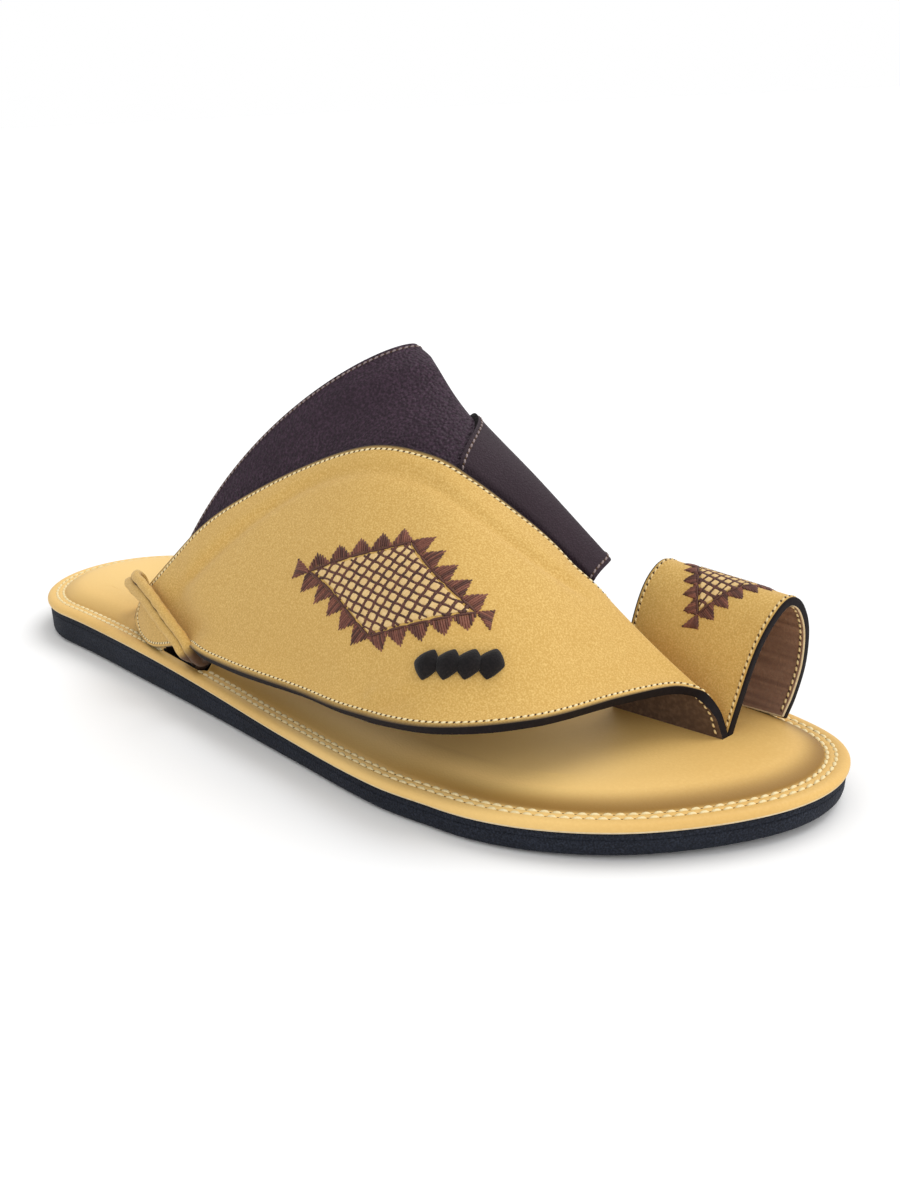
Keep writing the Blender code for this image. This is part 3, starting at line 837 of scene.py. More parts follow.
tan_nubuck = new_material(
    "tan_nubuck",
    Tones((197, 157, 83), (228, 192, 118), (203, 161, 85), 2300.0, 0.8, 25.0, 0.3),
    Relief(1300.0, 0.35, 2200.0, 0.12),
    Roughness=0.82,
    Specular_IOR_Level=0.25,
    Sheen_Weight=0.12,
    Sheen_Roughness=0.5,
)
mark_with(tan_nubuck, "cut_edge", shown(34, 24, 22), 1.0, 0.1)
brown_lining = new_material(
    "brown_lining",
    Tones((86, 66, 51), (130, 104, 82), (86, 64, 50), 900.0, 0.5, 60.0, 0.5),
    Relief(1100.0, 0.4, 1800.0, 0.15),
    Roughness=0.7,
    Specular_IOR_Level=0.3,
)
edge_paint = new_material(
    "black_edge_paint",
    Tones((20, 15, 17), (36, 28, 30), (15, 11, 13), 900.0, 0.4, 120.0, 0.5),
    Relief(900.0, 0.3, 1500.0, 0.12),
    Roughness=0.7,
    Specular_IOR_Level=0.15,
)
vamp_columns = spread(0.0, LAST_ROW, VAMP_COLUMNS)
vamp = make_sheet("nubuck_vamp", vamp_columns, spread(0.0, 1.0, VAMP_LINES), vamp_sheet_place)
give_wall(vamp, VAMP_WALL, (tan_nubuck, brown_lining, edge_paint, raw_edge_and_bounce_light))
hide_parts("upper")

# Instep panel: dark brown pebbled leather that comes out from under the vamp, goes over the instep and
# down into the inner edge of the insole. Its rear edge is the collar, turned and sewn.
JOINED_WALL = 4.6
PANEL_WALL = 1.8
PANEL_GAP = 0.05
COLLAR_ROW = 1.8
BAND_ROW = 6.65
FRONT_ROW = 10.0
Instep = namedtuple("Instep", "row ridge_x ridge_y ridge_z root_x")
INSTEP_ROWS = (
    Instep(COLLAR_ROW, 152.0, 15.0, 105.0, 108.0),
    Instep(4.3, 163.0, 15.0, 98.8, 122.0),
    Instep(BAND_ROW, 175.0, 16.0, 86.3, 138.0),
    Instep(8.3, 195.0, 17.5, 71.0, 154.0),
    Instep(FRONT_ROW, 216.5, 20.0, 53.0, 172.0),
)
ROOT_INSET = 7.5
ROOT_SINK = 1.5
RIDGE_ROUND = 15.0
RIDGE_FALL = 16.0
OUTER_RUN = 0.3
OUTER_FULLNESS = 0.68
INNER_BULGE = 5.0
INNER_FULLNESS = 0.6
ROOT_ACROSS = 3.0
PANEL_UNDER = 0.75
PANEL_END = 9.2
PANEL_COLUMNS = 90
PANEL_LINES = 96


@lru_cache(maxsize=None)
def instep_points(row):
    """The five points that shape the instep at a row: edge, ridge, root and the ways between them."""
    at = along(INSTEP_ROWS, row, "row")
    edge = vamp_edges(row)[0]
    ridge = Vector((at.ridge_x, at.ridge_y, at.ridge_z))
    floor = outsole_top(at.root_x) + footbed_rise(ROOT_INSET) - ROOT_SINK
    root = Vector((at.root_x, centre_line(at.root_x) + half_width(at.root_x) - ROOT_INSET, floor))
    sideways = Vector((root.x - edge.x, root.y - edge.y, 0.0)).normalized()
    leave = edge.lerp(ridge, OUTER_RUN)
    leave.z = edge.z + (ridge.z - edge.z) * OUTER_FULLNESS
    room = (ridge - edge).dot(sideways) / 2.0
    reach = (RIDGE_ROUND**-4 + room**-4) ** -0.25
    arrive = root + Vector((0.0, INNER_BULGE, (ridge.z - root.z) * INNER_FULLNESS))
    outer = (edge, leave, ridge - sideways * reach, ridge)
    inner = (ridge, ridge + sideways * RIDGE_FALL, arrive, root)
    return outer, inner


def bezier(points, share):
    """A point on a curve that leaves and arrives towards its two middle points."""
    while len(points) > 1:
        points = [points[k].lerp(points[k + 1], share) for k in range(len(points) - 1)]
    return points[0]


def upper_skin(row, across):
    """The whole upper, from the vamp's lower edge at 0, over its upper edge at 1, to the root at 3."""
    if across <= 1.0:
        return vamp_skin(row, across)
    outer, inner = instep_points(row)
    return bezier(outer, across - 1.0) if across <= 2.0 else bezier(inner, across - 2.0)


def upper_outwards(row, across):
    after, before = min(row + NEAR, FRONT_ROW), max(row - NEAR, COLLAR_ROW)
    ahead = upper_skin(after, across) - upper_skin(before, across)
    up = upper_skin(row, min(across + NEAR, ROOT_ACROSS)) - upper_skin(row, max(across - NEAR, 0.0))
    return ahead.cross(up).normalized()


def panel_place(row, across):
    return upper_skin(row, across) - upper_outwards(row, across) * (JOINED_WALL - PANEL_WALL + PANEL_GAP)


pebbled_brown = new_material(
    "pebbled_brown_leather",
    Tones((43, 29, 39), (92, 67, 86), (38, 25, 36), 1250.0, 0.5, 40.0, 0.5),
    Relief(1100.0, 0.85, 2500.0, 0.45),
    Roughness=0.55,
    Specular_IOR_Level=0.2,
)
panel_columns = spread(COLLAR_ROW, PANEL_END, PANEL_COLUMNS)
panel_lines = spread(PANEL_UNDER, ROOT_ACROSS, PANEL_LINES)
panel = make_sheet("instep_panel", panel_columns, panel_lines, panel_place)
give_wall(panel, PANEL_WALL, (pebbled_brown, brown_lining, edge_paint, brown_lining))

# Instep band: a strip of the same dark leather with a finer, smoother grain. It lies over the front of
# the panel, tucked under the vamp on the outer side, and its two long edges are sewn down.
BAND_WALL = 1.6
BAND_DEPTH = 1.2
BAND_GAP = 0.03
BAND_TUCK = 0.14
BAND_UNDER = 0.8
BAND_COLUMNS = 60
BAND_LINES = 96
smooth_brown = new_material(
    "smooth_brown_leather",
    Tones((46, 33, 40), (66, 50, 60), (40, 28, 35), 1500.0, 0.35, 40.0, 0.5),
    Relief(1900.0, 0.8, 2800.0, 0.12),
    Roughness=0.55,
    Specular_IOR_Level=0.18,
)


def band_place(row, across):
    """The band's face: under the vamp's wall at first, then out over the panel."""
    out = smooth_step((across - 1.0) / BAND_TUCK)
    depth = VAMP_WALL + BAND_GAP + (BAND_DEPTH - VAMP_WALL) * out
    return upper_skin(row, across) - upper_outwards(row, across) * depth


band_columns = spread(BAND_ROW, FRONT_ROW, BAND_COLUMNS)
band_lines = spread(BAND_UNDER, ROOT_ACROSS, BAND_LINES)
band = make_sheet("instep_band", band_columns, band_lines, band_place)
give_wall(band, BAND_WALL, (smooth_brown, brown_lining, edge_paint, brown_lining))

# Seams of the upper: fine cream thread along the vamp's cut edge, a golden one on its lining, and a greyer
# one along the collar and the two edges of the band. A small dark bead between each two stitches is painted
# shade for the needle hole.
UPPER_PITCH = 1.75
UPPER_STITCH = Vector((1.35, 0.6, 0.5))
UPPER_SLANT = math.radians(12.0)
UPPER_HOLE = Vector((0.75, 0.42, 0.3))
HOLE_SLANT = math.radians(50.0)
UPPER_DROOP = 0.2
UPPER_LIFT = 0.06
SEAM_INSET = 1.3
SEAM_BASE = 0.15
SEAM_TAIL = 0.45
SEAM_POINTS = 260
TAIL_TURN = (Step(0.3, 0.25), Step(0.2, 0.4), Step(0.17, 0.5), Step(0.2, 0.6), Step(0.3, 0.75))
LINING_START = 6.5
LINING_BASE = 0.6
LINING_POINTS = 120
LINING_INSETS = 1.4
EDGE_POINTS = 200
COLLAR_SPAN = (1.02, 2.92)
BAND_SPAN = (1.05, 2.92)
grey_thread = new_material(
    "greyed_thread",
    Tones((132, 116, 115), (98, 84, 85), (156, 138, 135), 3500.0, 0.6, 150.0, 0.4),
    Relief(2500.0, 0.3, 4500.0, 0.1),
    Roughness=0.6,
)
golden_thread = new_material(
    "golden_thread",
    Tones((226, 200, 142), (190, 156, 98), (234, 212, 160), 3500.0, 0.6, 150.0, 0.4),
    Relief(2500.0, 0.3, 4500.0, 0.1),
    Roughness=0.6,
)


def sew(name, lines, thread):
    """Stitches along lines of points, with a dark bead of painted shade for the needle hole between each
    two.
    """
    stitches = []
    holes = []
    for line in lines:
        for place, ahead, outwards in even_places(line, UPPER_PITCH):
            stitches.append((place + outwards * UPPER_LIFT, ahead, outwards))
            holes.append((place + ahead * UPPER_PITCH / 2.0, ahead, outwards))
    seam = lay_beads(name, model_bead(UPPER_STITCH, UPPER_DROOP), stitches, UPPER_SLANT, thread)
    lay_beads(f"{name}_holes", model_bead(UPPER_HOLE, 0.0), holes, HOLE_SLANT, needle_hole_shade)


def vamp_seam(row, share, depth=0.0):
    """A place of the vamp's seam on the face, or as deep as its lining."""
    outwards = vamp_outwards(row, share)
    return vamp_sheet_place(row, share) - outwards * depth, outwards if depth == 0.0 else -outwards


def seam_share(row):
    return SEAM_INSET / vamp_width(row)


lower_rows = spread(LAST_ROW - SEAM_BASE, SEAM_TAIL, SEAM_POINTS)
vamp_line = [vamp_seam(row, seam_share(row)) for row in lower_rows]
vamp_line += [vamp_seam(turn.row, turn.up) for turn in TAIL_TURN]
vamp_line += [vamp_seam(row, 1.0 - seam_share(row)) for row in reversed(lower_rows)]
sew("vamp_seam", [vamp_line], cream_thread)
lining_rows = spread(LINING_START, LAST_ROW - LINING_BASE, LINING_POINTS)
lining_line = [vamp_seam(row, LINING_INSETS * seam_share(row), VAMP_WALL) for row in lining_rows]
sew("vamp_lining_seam", [lining_line], golden_thread)


def edge_line(place, row, inwards, start, end):
    """A seam along the rear or front edge of the panel or the band."""
    line = []
    for across in spread(start, end, EDGE_POINTS):
        step = (upper_skin(row + inwards * NEAR, across) - upper_skin(row, across)).length / NEAR
        at = row + inwards * SEAM_INSET / step
        line.append((place(at, across), upper_outwards(at, across)))
    return line


collar_line = edge_line(panel_place, COLLAR_ROW, 1.0, *COLLAR_SPAN)
rear_line = edge_line(band_place, BAND_ROW, 1.0, *BAND_SPAN)
front_line = edge_line(band_place, FRONT_ROW, -1.0, *BAND_SPAN)
sew("instep_seams", [collar_line, rear_line, front_line], grey_thread)

# Embroidery on the vamp: a diamond worked in brown thread. Pads of leather swell between the crossing
# threads of its net, and satin-stitched triangles stand along its four sides, one more at each end.
VAMP_DIAMOND = (Step(4.763, 0.458), Step(6.349, 0.640), Step(7.344, 0.431), Step(6.061, 0.264))
NET_STEPS = (Vector((0.094, -0.075)), Vector((0.038, 0.069)))
NET_SPAN = 18
NET_MARGIN = 0.03
NET_SWING = 0.06
NET_WIDTHS = (1.35, 0.75)
NET_RISE = 0.5
NET_LAP = 0.12
NET_SHADES = (0.4, 0.8)
BORDER_SHADE = 0.6
PAD_SWELL = 0.4
PAD_FULL_SIZE = 1.4
Swell = namedtuple("Swell", "scale lift")
SWELLS = (Swell(0.82, -0.05), Swell(0.76, 0.5), Swell(0.62, 0.88), Swell(0.36, 1.0))
TEETH = 5
TOOTH_LAP = 0.07
Side = namedtuple("Side", "start run tip")
SIDES = (
    Side(Vector((0.0, 0.0)), Vector((1.0, 0.0)), Vector((0.10, -0.21))),
    Side(Vector((1.0, 0.0)), Vector((0.0, 1.0)), Vector((0.23, -0.12))),
    Side(Vector((1.0, 1.0)), Vector((-1.0, 0.0)), Vector((-0.12, 0.20))),
    Side(Vector((0.0, 1.0)), Vector((0.0, -1.0)), Vector((-0.24, 0.13))),
)
TAIL_FEET = (Vector((-0.16, 0.0)), Vector((0.05, -0.24)))
SATIN_THREADS = 11
SATIN_WIDTH = 0.7
SATIN_RISE = 0.45
SATIN_POINT = 1.2
SATIN_RAGGED = (-0.03, 0.05)
SATIN_SHADES = (-0.2, 0.75)
THREAD_STEPS = 5
THREAD_SIDES = 4
THREAD_DIP = 0.85
THREAD_SQUARENESS = 6
THREAD_SINK = 0.05
SIDE_SHADE = 0.6
THREAD_SEED = 7
draw = random.Random(THREAD_SEED)
brown_thread = new_material(
    "brown_embroidery_thread",
    Tones((124, 74, 58), (158, 104, 82), (104, 58, 48), 1800.0, 0.5, 120.0, 0.5),
    Relief(2500.0, 0.3, 4500.0, 0.12),
    Roughness=0.5,
    Specular_IOR_Level=0.35,
)
mark_with(brown_thread, "shade", shown(56, 31, 26))
# Painted light: the pads are a lighter copy of the tan nubuck, for the light on their swollen tops.
lit_padded_nubuck = new_material(
    "lit_padded_nubuck",
    Tones((216, 182, 122), (236, 206, 154), (204, 166, 108), 1500.0, 0.6, 180.0, 0.4),
    Relief(1300.0, 0.35, 2200.0, 0.1),
    Roughness=0.8,
)


def between_corners(corners, s, t):
    """A place between four corners, by its shares of the way along and across."""
    weights = (1.0 - s) * (1.0 - t), s * (1.0 - t), s * t, (1.0 - s) * t
    return [sum(weight * corner[k] for weight, corner in zip(weights, corners)) for k in range(2)]


class Cloth:
    """The leather under a diamond: a place and the way out, by the diamond's own two shares."""

    def __init__(self, corners, surface, outwards):
        self.corners = corners
        self.surface = surface
        self.normal = outwards

    def place(self, spot):
        return self.surface(*between_corners(self.corners, *spot))

    def outwards(self, spot):
        return self.normal(*between_corners(self.corners, *spot))


def lay_thread(form, cloth, start, end, width, rise, shade):
    """One thread on the leather: a strip that is arched over its width and dips at its ends."""
    mark = form.verts.layers.float["shade"]
    ahead = cloth.place(end) - cloth.place(start)
    rows = []
    for share in spread(0.0, 1.0, THREAD_STEPS):
        spot = start.lerp(end, share)
        outwards = cloth.outwards(spot)
        aside = outwards.cross(ahead).normalized()
        full = 1.0 - THREAD_DIP * (2.0 * share - 1.0) ** THREAD_SQUARENESS
        corners = []
        for turn in spread(0.0, math.pi, THREAD_SIDES):
            flat = aside * (-math.cos(turn) * width / 2.0 * (0.5 + 0.5 * full))
            lift = outwards * (math.sin(turn) * rise * full - THREAD_SINK)
            corner = form.verts.new(placed(cloth.place(spot) + flat + lift))
            corner[mark] = min(max(shade + SIDE_SHADE * (1.0 - math.sin(turn)), 0.0), 1.0)
            corners.append(corner)
        rows.append(corners)
    for low, high in zip(rows, rows[1:]):
        for k in range(THREAD_SIDES):
            form.faces.new((low[k], low[k + 1], high[k + 1], high[k]))


def satin_triangle(form, cloth, start, end, tip):
    """A triangle filled with threads that run from its base towards its tip."""
    middle = start.lerp(end, 0.5)
    for k in range(SATIN_THREADS):
        share = (k + 0.5) / SATIN_THREADS
        foot = start.lerp(end, share)
        reach = 1.0 - abs(2.0 * share - 1.0) ** SATIN_POINT + draw.uniform(*SATIN_RAGGED)
        head = foot + (tip - middle) * reach
        lay_thread(form, cloth, foot, head, SATIN_WIDTH, SATIN_RISE, draw.uniform(*SATIN_SHADES))


def clipped(corners):
    """The part of a mesh of the net that lies inside the diamond."""
    for axis in (0, 1):
        for limit, side in ((NET_MARGIN, 1.0), (1.0 - NET_MARGIN, -1.0)):
            kept = []
            for k, corner in enumerate(corners):
                before = corners[k - 1]
                inside = (corner[axis] - limit) * side >= 0.0
                if inside != ((before[axis] - limit) * side >= 0.0):
                    kept.append(before.lerp(corner, (limit - before[axis]) / (corner[axis] - before[axis])))
                if inside:
                    kept.append(corner)
            corners = kept
    return corners


def swell_pad(form, cloth, corners):
    """A pad of leather that swells inside one mesh of the net."""
    middle = sum(corners, Vector((0.0, 0.0))) / len(corners)
    size = max((cloth.place(corner) - cloth.place(middle)).length for corner in corners)
    rounds = []
    for scale, lift in SWELLS:
        spots = [middle.lerp(corner, scale) for corner in corners]
        swell = lift * PAD_SWELL * min(size / PAD_FULL_SIZE, 1.0)
        rounds.append([form.verts.new(placed(cloth.place(s) + cloth.outwards(s) * swell)) for s in spots])
    for low, high in zip(rounds, rounds[1:]):
        for k in range(len(corners)):
            form.faces.new((low[k - 1], low[k], high[k], high[k - 1]))
    form.faces.new(rounds[-1])


def embroider(name, cloth, net_steps, swing):
    """The whole diamond: its net, its pads and its triangles, as two pieces."""
    threads = bmesh.new()
    threads.verts.layers.float.new("shade")
    pads = bmesh.new()
    first, second = net_steps

    def knot(i, j):
        return Vector((0.5, 0.5)) + first * i + second * j

    def drawn(i, j, step, other):
        """A point half way along a thread, drawn to one side so that every second pad is larger."""
        return knot(i, j) + step * 0.5 + other * swing * (-1.0 if (i + j) % 2 else 1.0)

    for i in range(-NET_SPAN, NET_SPAN):
        for j in range(-NET_SPAN, NET_SPAN):
            near = drawn(i, j, first, -second)
            far = drawn(i, j + 1, first, -second)
            left = drawn(i, j, second, -first)
            right = drawn(i + 1, j, second, -first)
            across = knot(i + 1, j + 1)
            corners = (knot(i, j), near, knot(i + 1, j), right, across, far, knot(i, j + 1), left)
            cell = clipped(list(corners))
            if len(cell) > 2:
                swell_pad(pads, cloth, cell)
            runs = ((corners[0], near), (near, corners[2])), ((corners[0], left), (left, corners[6]))
            for width, halves in zip(NET_WIDTHS, runs):
                for start, end in halves:
                    inside = all(NET_MARGIN < value < 1.0 - NET_MARGIN for value in start.lerp(end, 0.5))
                    if inside:
                        lap = (end - start) * NET_LAP
                        shade = draw.uniform(*NET_SHADES)
                        lay_thread(threads, cloth, start - lap, end + lap, width, NET_RISE, shade)
    for side in SIDES:
        for k in range(TEETH):
            start = side.start + side.run * (k / TEETH)
            end = side.start + side.run * ((k + 1) / TEETH)
            feet = start.lerp(end, -TOOTH_LAP), start.lerp(end, 1.0 + TOOTH_LAP)
            satin_triangle(threads, cloth, *feet, start.lerp(end, 0.5) + side.tip)
            lay_thread(threads, cloth, start, end, NET_WIDTHS[1], NET_RISE, BORDER_SHADE)
    ends = (Vector((0.0, 0.0)), 1.0), (Vector((1.0, 1.0)), -1.0)
    for corner, way in ends:
        feet = [corner + foot * way for foot in TAIL_FEET]
        satin_triangle(threads, cloth, feet[0], feet[1], corner)
    for kind, form, finish in (("thread", threads, brown_thread), ("pads", pads, lit_padded_nubuck)):
        mesh = bpy.data.meshes.new(f"{name}_{kind}")
        form.to_mesh(mesh)
        form.free()
        set_piece(mesh, finish)


embroider("vamp_diamond", Cloth(VAMP_DIAMOND, vamp_place, vamp_outwards), NET_STEPS, NET_SWING)

# Braid: a black thong drawn in and out of the vamp, which leaves four folded squares in a row. Each one
# is a soft fold that lies over the next one towards the toe.
BRAID_PLACES = (Step(6.88, 0.21), Step(7.10, 0.22), Step(7.32, 0.23), Step(7.55, 0.24))
BRAID_CORNERS = (Vector((-0.4, -4.5)), Vector((4.1, -0.4)), Vector((1.6, 4.4)), Vector((-4.1, 0.4)))
BRAID_RISE = 3.2
BRAID_LEAN = 0.8
BRAID_SINK = 0.15
FOLD_CUTS = 9
FOLD_ROUND = 0.22
FOLD_DOME = 0.92
black_suede = new_material(
    "black_suede",
    Tones((19, 16, 17), (38, 32, 33), (13, 11, 12), 1600.0, 0.5, 200.0, 0.5),
    Relief(1800.0, 0.4, 2600.0, 0.15),
    Roughness=0.9,
    Specular_IOR_Level=0.2,
    Sheen_Weight=0.1,
)


def fold_square(name, at):
    """One fold of the thong: a cube, subdivided and rounded, and drawn out to four corners on the vamp."""
    bpy.ops.object.select_all(action="DESELECT")
    bpy.ops.mesh.primitive_cube_add(size=2.0)
    fold = bpy.context.object
    fold.name = name
    bpy.ops.object.mode_set(mode="EDIT")
    bpy.ops.mesh.select_all(action="SELECT")
    bpy.ops.mesh.subdivide(number_cuts=FOLD_CUTS)
    bpy.ops.object.mode_set(mode="OBJECT")
    middle = vamp_place(at.row, at.up)
    outwards = vamp_outwards(at.row, at.up)
    ahead = (vamp_skin(at.row + NEAR, at.up) - vamp_skin(at.row - NEAR, at.up)).normalized()
    upwards = outwards.cross(ahead).normalized()
    for corner in fold.data.vertices:
        x, y, z = corner.co
        s = (x * math.sqrt(1.0 - FOLD_ROUND * y * y) + 1.0) / 2.0
        t = (y * math.sqrt(1.0 - FOLD_ROUND * x * x) + 1.0) / 2.0
        dome = math.sqrt((1.0 - FOLD_DOME * x * x) * (1.0 - FOLD_DOME * y * y))
        flat = between_corners(BRAID_CORNERS, s, t)
        rise = (z + 1.0) / 2.0 * BRAID_RISE * dome + BRAID_LEAN * s - BRAID_SINK
        corner.co = placed(middle + ahead * flat[0] + upwards * flat[1] + outwards * rise)
    soft = fold.modifiers.new("soft", "SUBSURF")
    soft.levels = 1
    soft.render_levels = 1
    bpy.context.view_layer.objects.active = fold
    bpy.ops.object.modifier_apply(modifier=soft.name)
    bpy.ops.object.shade_smooth()
    fold.data.materials.append(black_suede)
    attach(fold, "root")
    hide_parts(name.replace("fold", "braid"))


for number, at in enumerate(BRAID_PLACES, start=1):
    fold_square(f"fold_{number}", at)

# Toe loop: a band of the same tan nubuck round the big toe, with a brown lining whose creases from the bend
# are painted on as darker blotches of shade. Both ends go down into the insole, its cut edges are painted
# black and sewn, and a second diamond is worked over its top.
LOOP_WALL = 2.4
LOOP_REAR_LIFT = 3.0
LOOP_COLUMNS = 44
LOOP_LINES = 130
LOOP_SEAM_BASE = 0.25
LOOP_SEAM_POINTS = 160
# Painted shade of the lining's creases: darker blotches from noise, many along the loop and few across it.
WRINKLES_ALONG = 7.0
WRINKLES_ACROSS = 1.2
WRINKLE_SEED = 5.0
Loop = namedtuple("Loop", "y z rear_x front_x")
LOOP_ROWS = (
    Loop(16.0, 11.0, 219.5, 254.2),
    Loop(20.6, 22.0, 219.5, 254.8),
    Loop(24.2, 34.0, 219.8, 256.5),
    Loop(28.5, 42.2, 220.5, 258.3),
    Loop(34.5, 46.0, 221.3, 259.2),
    Loop(40.5, 43.7, 221.8, 259.4),
    Loop(44.7, 36.2, 222.0, 259.4),
    Loop(45.6, 26.0, 222.0, 258.8),
    Loop(43.6, 17.0, 222.0, 257.8),
    Loop(40.6, 11.0, 222.0, 257.0),
)
LOOP_END = len(LOOP_ROWS) - 1.0
LOOP_DIAMOND = (Step(2.48, 0.49), Step(4.65, 0.22), Step(6.82, 0.50), Step(4.65, 0.77))
LOOP_NET = (Vector((0.117, -0.094)), Vector((0.048, 0.086)))


def loop_place(turn, share):
    """The loop's outer face, a little higher at its rear edge than at its front."""
    at = along(LOOP_ROWS, turn)
    foot = LOOP_ROWS[0].z
    top = max(row.z for row in LOOP_ROWS)
    lift = LOOP_REAR_LIFT * (1.0 - share) * (at.z - foot) / (top - foot)
    return Vector((at.rear_x + (at.front_x - at.rear_x) * share, at.y, at.z + lift))


def loop_outwards(turn, share):
    run = loop_place(turn + NEAR, share) - loop_place(turn - NEAR, share)
    across = loop_place(turn, 1.0) - loop_place(turn, 0.0)
    return across.cross(run).normalized()


def loop_sheet_place(share, turn):
    return loop_place(turn, share)


loop_turns = spread(0.0, LOOP_END, LOOP_LINES)
loop_shares = spread(0.0, 1.0, LOOP_COLUMNS)
toe_loop = make_sheet("nubuck_toe_loop", loop_shares, loop_turns, loop_sheet_place)
wrinkle_shade = toe_loop.data.attributes.new("wrinkle_shade", "FLOAT", "POINT")
for number, mark in enumerate(wrinkle_shade.data):
    turn, share = loop_turns[number // len(loop_shares)], loop_shares[number % len(loop_shares)]
    spot = Vector((turn * WRINKLES_ALONG, share * WRINKLES_ACROSS, WRINKLE_SEED))
    mark.value = smooth_step(0.5 + noise.noise(spot))
loop_lining = new_material(
    "wrinkled_lining",
    Tones((154, 118, 96), (174, 140, 114), (130, 98, 80), 900.0, 0.5, 60.0, 0.5),
    Relief(1100.0, 0.4, 1800.0, 0.15),
    Roughness=0.6,
)
# Painted shade in the lining's creases.
mark_with(loop_lining, "wrinkle_shade", shown(104, 76, 62), 0.7)
give_wall(toe_loop, LOOP_WALL, (tan_nubuck, loop_lining, edge_paint, raw_edge_and_bounce_light))
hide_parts("toe_loop")


def loop_line(from_front, depth):
    """A seam along one edge of the loop, on its face or on its lining."""
    line = []
    for turn in spread(LOOP_SEAM_BASE, LOOP_END - LOOP_SEAM_BASE, LOOP_SEAM_POINTS):
        inset = SEAM_INSET / (loop_place(turn, 1.0) - loop_place(turn, 0.0)).length
        share = 1.0 - inset if from_front else inset
        outwards = loop_outwards(turn, share)
        line.append((loop_place(turn, share) - outwards * depth, outwards if depth == 0.0 else -outwards))
    return line


sew("toe_loop_seam", [loop_line(True, 0.0), loop_line(False, 0.0)], golden_thread)
sew("toe_loop_lining_seam", [loop_line(True, LOOP_WALL), loop_line(False, LOOP_WALL)], golden_thread)
embroider("loop_diamond", Cloth(LOOP_DIAMOND, loop_place, loop_outwards), LOOP_NET, 0.0)

# Side thong: a soft strip of the tan leather, folded double along its length. It comes up through the
# slot in the insole, lies over the tail of the vamp and goes down behind it. The groove of its fold is
# painted dark as shade.
THONG_WIDTH = 6.4
THONG_LINES = 110
THONG_WOBBLE = 0.06
THONG_WAVES = 2.2
THONG_SEED = 3.0
UNDERSIDE_END = 2.9
UNDERSIDE_FADE = 0.5
MERGE = 0.00001
Thong = namedtuple("Thong", "x y z wide_x wide_y wide_z")
THONG_ROWS = (
    Thong(104.5, -33.0, 10.6, 1.0, 0.0, 0.0),
    Thong(107.5, -33.8, 14.1, 1.0, 0.0, 0.0),
    Thong(110.0, -37.6, 15.4, 1.0, 0.0, 0.1),
    Thong(110.8, -40.4, 18.0, 0.8, 0.1, 0.4),
    Thong(107.5, -40.4, 21.2, 0.45, 0.2, 0.85),
    Thong(102.0, -39.3, 23.2, 0.35, 0.22, 0.9),
    Thong(96.0, -37.9, 25.3, 0.31, 0.26, 0.91),
    Thong(89.0, -35.8, 27.2, 0.3, 0.28, 0.91),
    Thong(81.0, -33.2, 28.4, 0.3, 0.3, 0.9),
    Thong(72.0, -29.8, 28.4, 0.45, 0.3, 0.85),
    Thong(65.6, -26.0, 27.0, 0.8, 0.2, 0.5),
    Thong(63.2, -23.2, 23.6, 1.0, 0.0, 0.2),
    Thong(63.2, -22.0, 19.6, 1.0, 0.0, 0.05),
    Thong(64.0, -21.6, 13.6, 1.0, 0.0, 0.0),
)
# The seam column marks the bottom of the fold's groove, which is painted dark as shade.
Lip = namedtuple("Lip", "share rise seam")
THONG_PROFILE = (
    Lip(0.02, 0.1, 0.0),
    Lip(0.5, 0.0, 0.0),
    Lip(0.98, 0.1, 0.0),
    Lip(1.03, 0.7, 0.0),
    Lip(1.02, 1.4, 0.0),
    Lip(0.95, 2.0, 0.0),
    Lip(0.86, 2.3, 0.0),
    Lip(0.72, 2.35, 0.0),
    Lip(0.63, 2.15, 0.1),
    Lip(0.60, 1.6, 0.9),
    Lip(0.58, 0.9, 1.0),
    Lip(0.56, 1.3, 0.9),
    Lip(0.51, 1.65, 0.1),
    Lip(0.38, 1.85, 0.0),
    Lip(0.20, 1.8, 0.0),
    Lip(0.05, 1.55, 0.0),
    Lip(-0.02, 1.0, 0.0),
    Lip(-0.02, 0.5, 0.0),
)


def thong_middle(turn):
    at = along(THONG_ROWS, turn)
    return Vector((at.x, at.y, at.z))


def thong_place(number, turn):
    """A place on the thong's skin: a point of its profile, at a turn of its route."""
    lip = THONG_PROFILE[number % len(THONG_PROFILE)]
    at = along(THONG_ROWS, turn)
    run = (thong_middle(turn + NEAR) - thong_middle(turn - NEAR)).normalized()
    wide = Vector((at.wide_x, at.wide_y, at.wide_z))
    sideways = (wide - run * wide.dot(run)).normalized()
    wobble = THONG_WOBBLE * noise.noise(Vector((turn * THONG_WAVES, lip.rise, THONG_SEED)))
    across = sideways * THONG_WIDTH * (lip.share + wobble - 0.5)
    return thong_middle(turn) + across + sideways.cross(run) * lip.rise


thong_turns = spread(0.0, len(THONG_ROWS) - 1.0, THONG_LINES)
thong_columns = list(range(len(THONG_PROFILE) + 1))
thong = make_sheet("folded_thong", thong_columns, thong_turns, thong_place)
fold_groove_shade = thong.data.attributes.new("fold", "FLOAT", "POINT")
for number, mark in enumerate(fold_groove_shade.data):
    mark.value = THONG_PROFILE[number % len(thong_columns) % len(THONG_PROFILE)].seam
flesh_side = thong.data.attributes.new("underside", "FLOAT", "POINT")
for number, mark in enumerate(flesh_side.data):
    turn = thong_turns[number // len(thong_columns)]
    mark.value = 1.0 - smooth_step((turn - UNDERSIDE_END) / UNDERSIDE_FADE)
bpy.ops.object.mode_set(mode="EDIT")
bpy.ops.mesh.select_all(action="SELECT")
bpy.ops.mesh.remove_doubles(threshold=MERGE)
bpy.ops.mesh.select_all(action="DESELECT")
bpy.ops.mesh.select_non_manifold()
bpy.ops.mesh.fill_holes(sides=0)
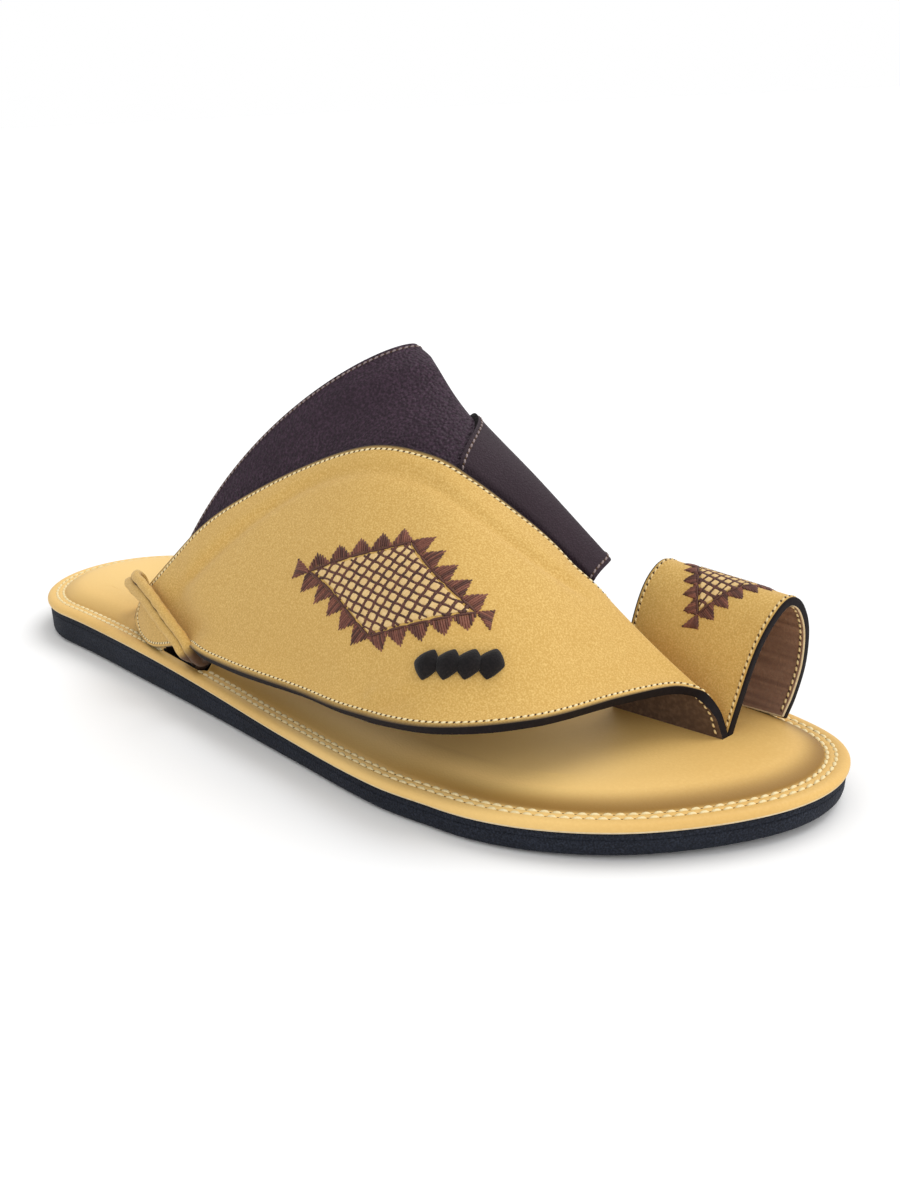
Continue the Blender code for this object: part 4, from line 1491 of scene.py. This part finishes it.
bpy.ops.mesh.select_all(action="SELECT")
bpy.ops.mesh.normals_make_consistent(inside=False)
bpy.ops.object.mode_set(mode="OBJECT")
bpy.ops.object.shade_smooth()
soft_tan = tan_nubuck.copy()
soft_tan.name = "folded_tan_leather"
mark_with(soft_tan, "underside", shown(92, 66, 46))
# Painted shade along the groove of the fold.
mark_with(soft_tan, "fold", shown(58, 38, 20))
thong.data.materials.append(soft_tan)
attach(thong, "root")
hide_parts("side_thong")

# Studio: a wide sheet of white paper under an even sky, with two large soft lamps, one overhead from the
# inner side and one in front. The camera stands where the photograph was taken, with its lens and tilt.
FLOOR_HALF = 40.0
SKY_LIGHT = 0.8
Lamp = namedtuple("Lamp", "name way width strength")
LAMPS = (
    Lamp("overhead", Vector((0.15, 0.5, 0.85)), 45.0, 1.15),
    Lamp("front", Vector((0.88, -0.2, 0.43)), 50.0, 0.75),
)
CAMERA_AZIMUTH = math.radians(46.84)
CAMERA_ELEVATION = math.radians(20.12)
CAMERA_ROLL = math.radians(-2.74)
CAMERA_DISTANCE = 419.64
CAMERA_TARGET = Vector((-0.4, 0.0, 20.0))
PHOTO_HEIGHT = 1200.0
FOCAL_PIXELS = 1430.79
SHIFT_PIXELS = (87.61, 31.68)
SENSOR = 36.0
NEAREST = 0.01
bpy.ops.object.select_all(action="DESELECT")
bpy.ops.mesh.primitive_plane_add(size=2.0 * FLOOR_HALF)
floor = bpy.context.object
floor.name = "studio_floor"
paper = bpy.data.materials.new("white_paper")
paper.use_nodes = True
matt = {"Base Color": shown(248, 248, 248), "Roughness": 0.9, "Specular IOR Level": 0.1}
for socket, value in matt.items():
    paper.node_tree.nodes["Principled BSDF"].inputs[socket].default_value = value
floor.data.materials.append(paper)

world = bpy.data.worlds.new("studio")
world.use_nodes = True
sky = world.node_tree.nodes["Background"]
sky.inputs["Color"].default_value = (1.0, 1.0, 1.0, 1.0)
seen = add_node(world.node_tree, "ShaderNodeLightPath").outputs["Is Camera Ray"]
strength = ramped(world.node_tree, seen, 0.0, 1.0, SKY_LIGHT, 1.0)
world.node_tree.links.new(strength, sky.inputs["Strength"])
bpy.context.scene.world = world

for lamp in LAMPS:
    light = bpy.data.lights.new(lamp.name, "SUN")
    light.angle = math.radians(lamp.width)
    light.energy = lamp.strength
    far = bpy.data.objects.new(lamp.name, light)
    far.rotation_euler = lamp.way.to_track_quat("Z", "Y").to_euler()
    bpy.context.scene.collection.objects.link(far)

back = Vector(
    (
        math.sin(CAMERA_AZIMUTH) * math.cos(CAMERA_ELEVATION),
        -math.cos(CAMERA_AZIMUTH) * math.cos(CAMERA_ELEVATION),
        math.sin(CAMERA_ELEVATION),
    )
)
level = Vector((math.cos(CAMERA_AZIMUTH), math.sin(CAMERA_AZIMUTH), 0.0))
upright = back.cross(level)
right = level * math.cos(CAMERA_ROLL) + upright * math.sin(CAMERA_ROLL)
lens = bpy.data.cameras.new("photo_camera")
lens.sensor_fit = "AUTO"
lens.sensor_width = SENSOR
lens.lens = FOCAL_PIXELS * SENSOR / PHOTO_HEIGHT
lens.shift_x = SHIFT_PIXELS[0] / PHOTO_HEIGHT
lens.shift_y = SHIFT_PIXELS[1] / PHOTO_HEIGHT
lens.clip_start = NEAREST
camera = bpy.data.objects.new("photo_camera", lens)
turn = Matrix((right, back.cross(right), back)).transposed()
camera.matrix_world = Matrix.Translation((CAMERA_TARGET + back * CAMERA_DISTANCE) * MM) @ turn.to_4x4()
bpy.context.scene.collection.objects.link(camera)
bpy.context.scene.camera = camera
bpy.context.scene.view_settings.view_transform = "Standard"
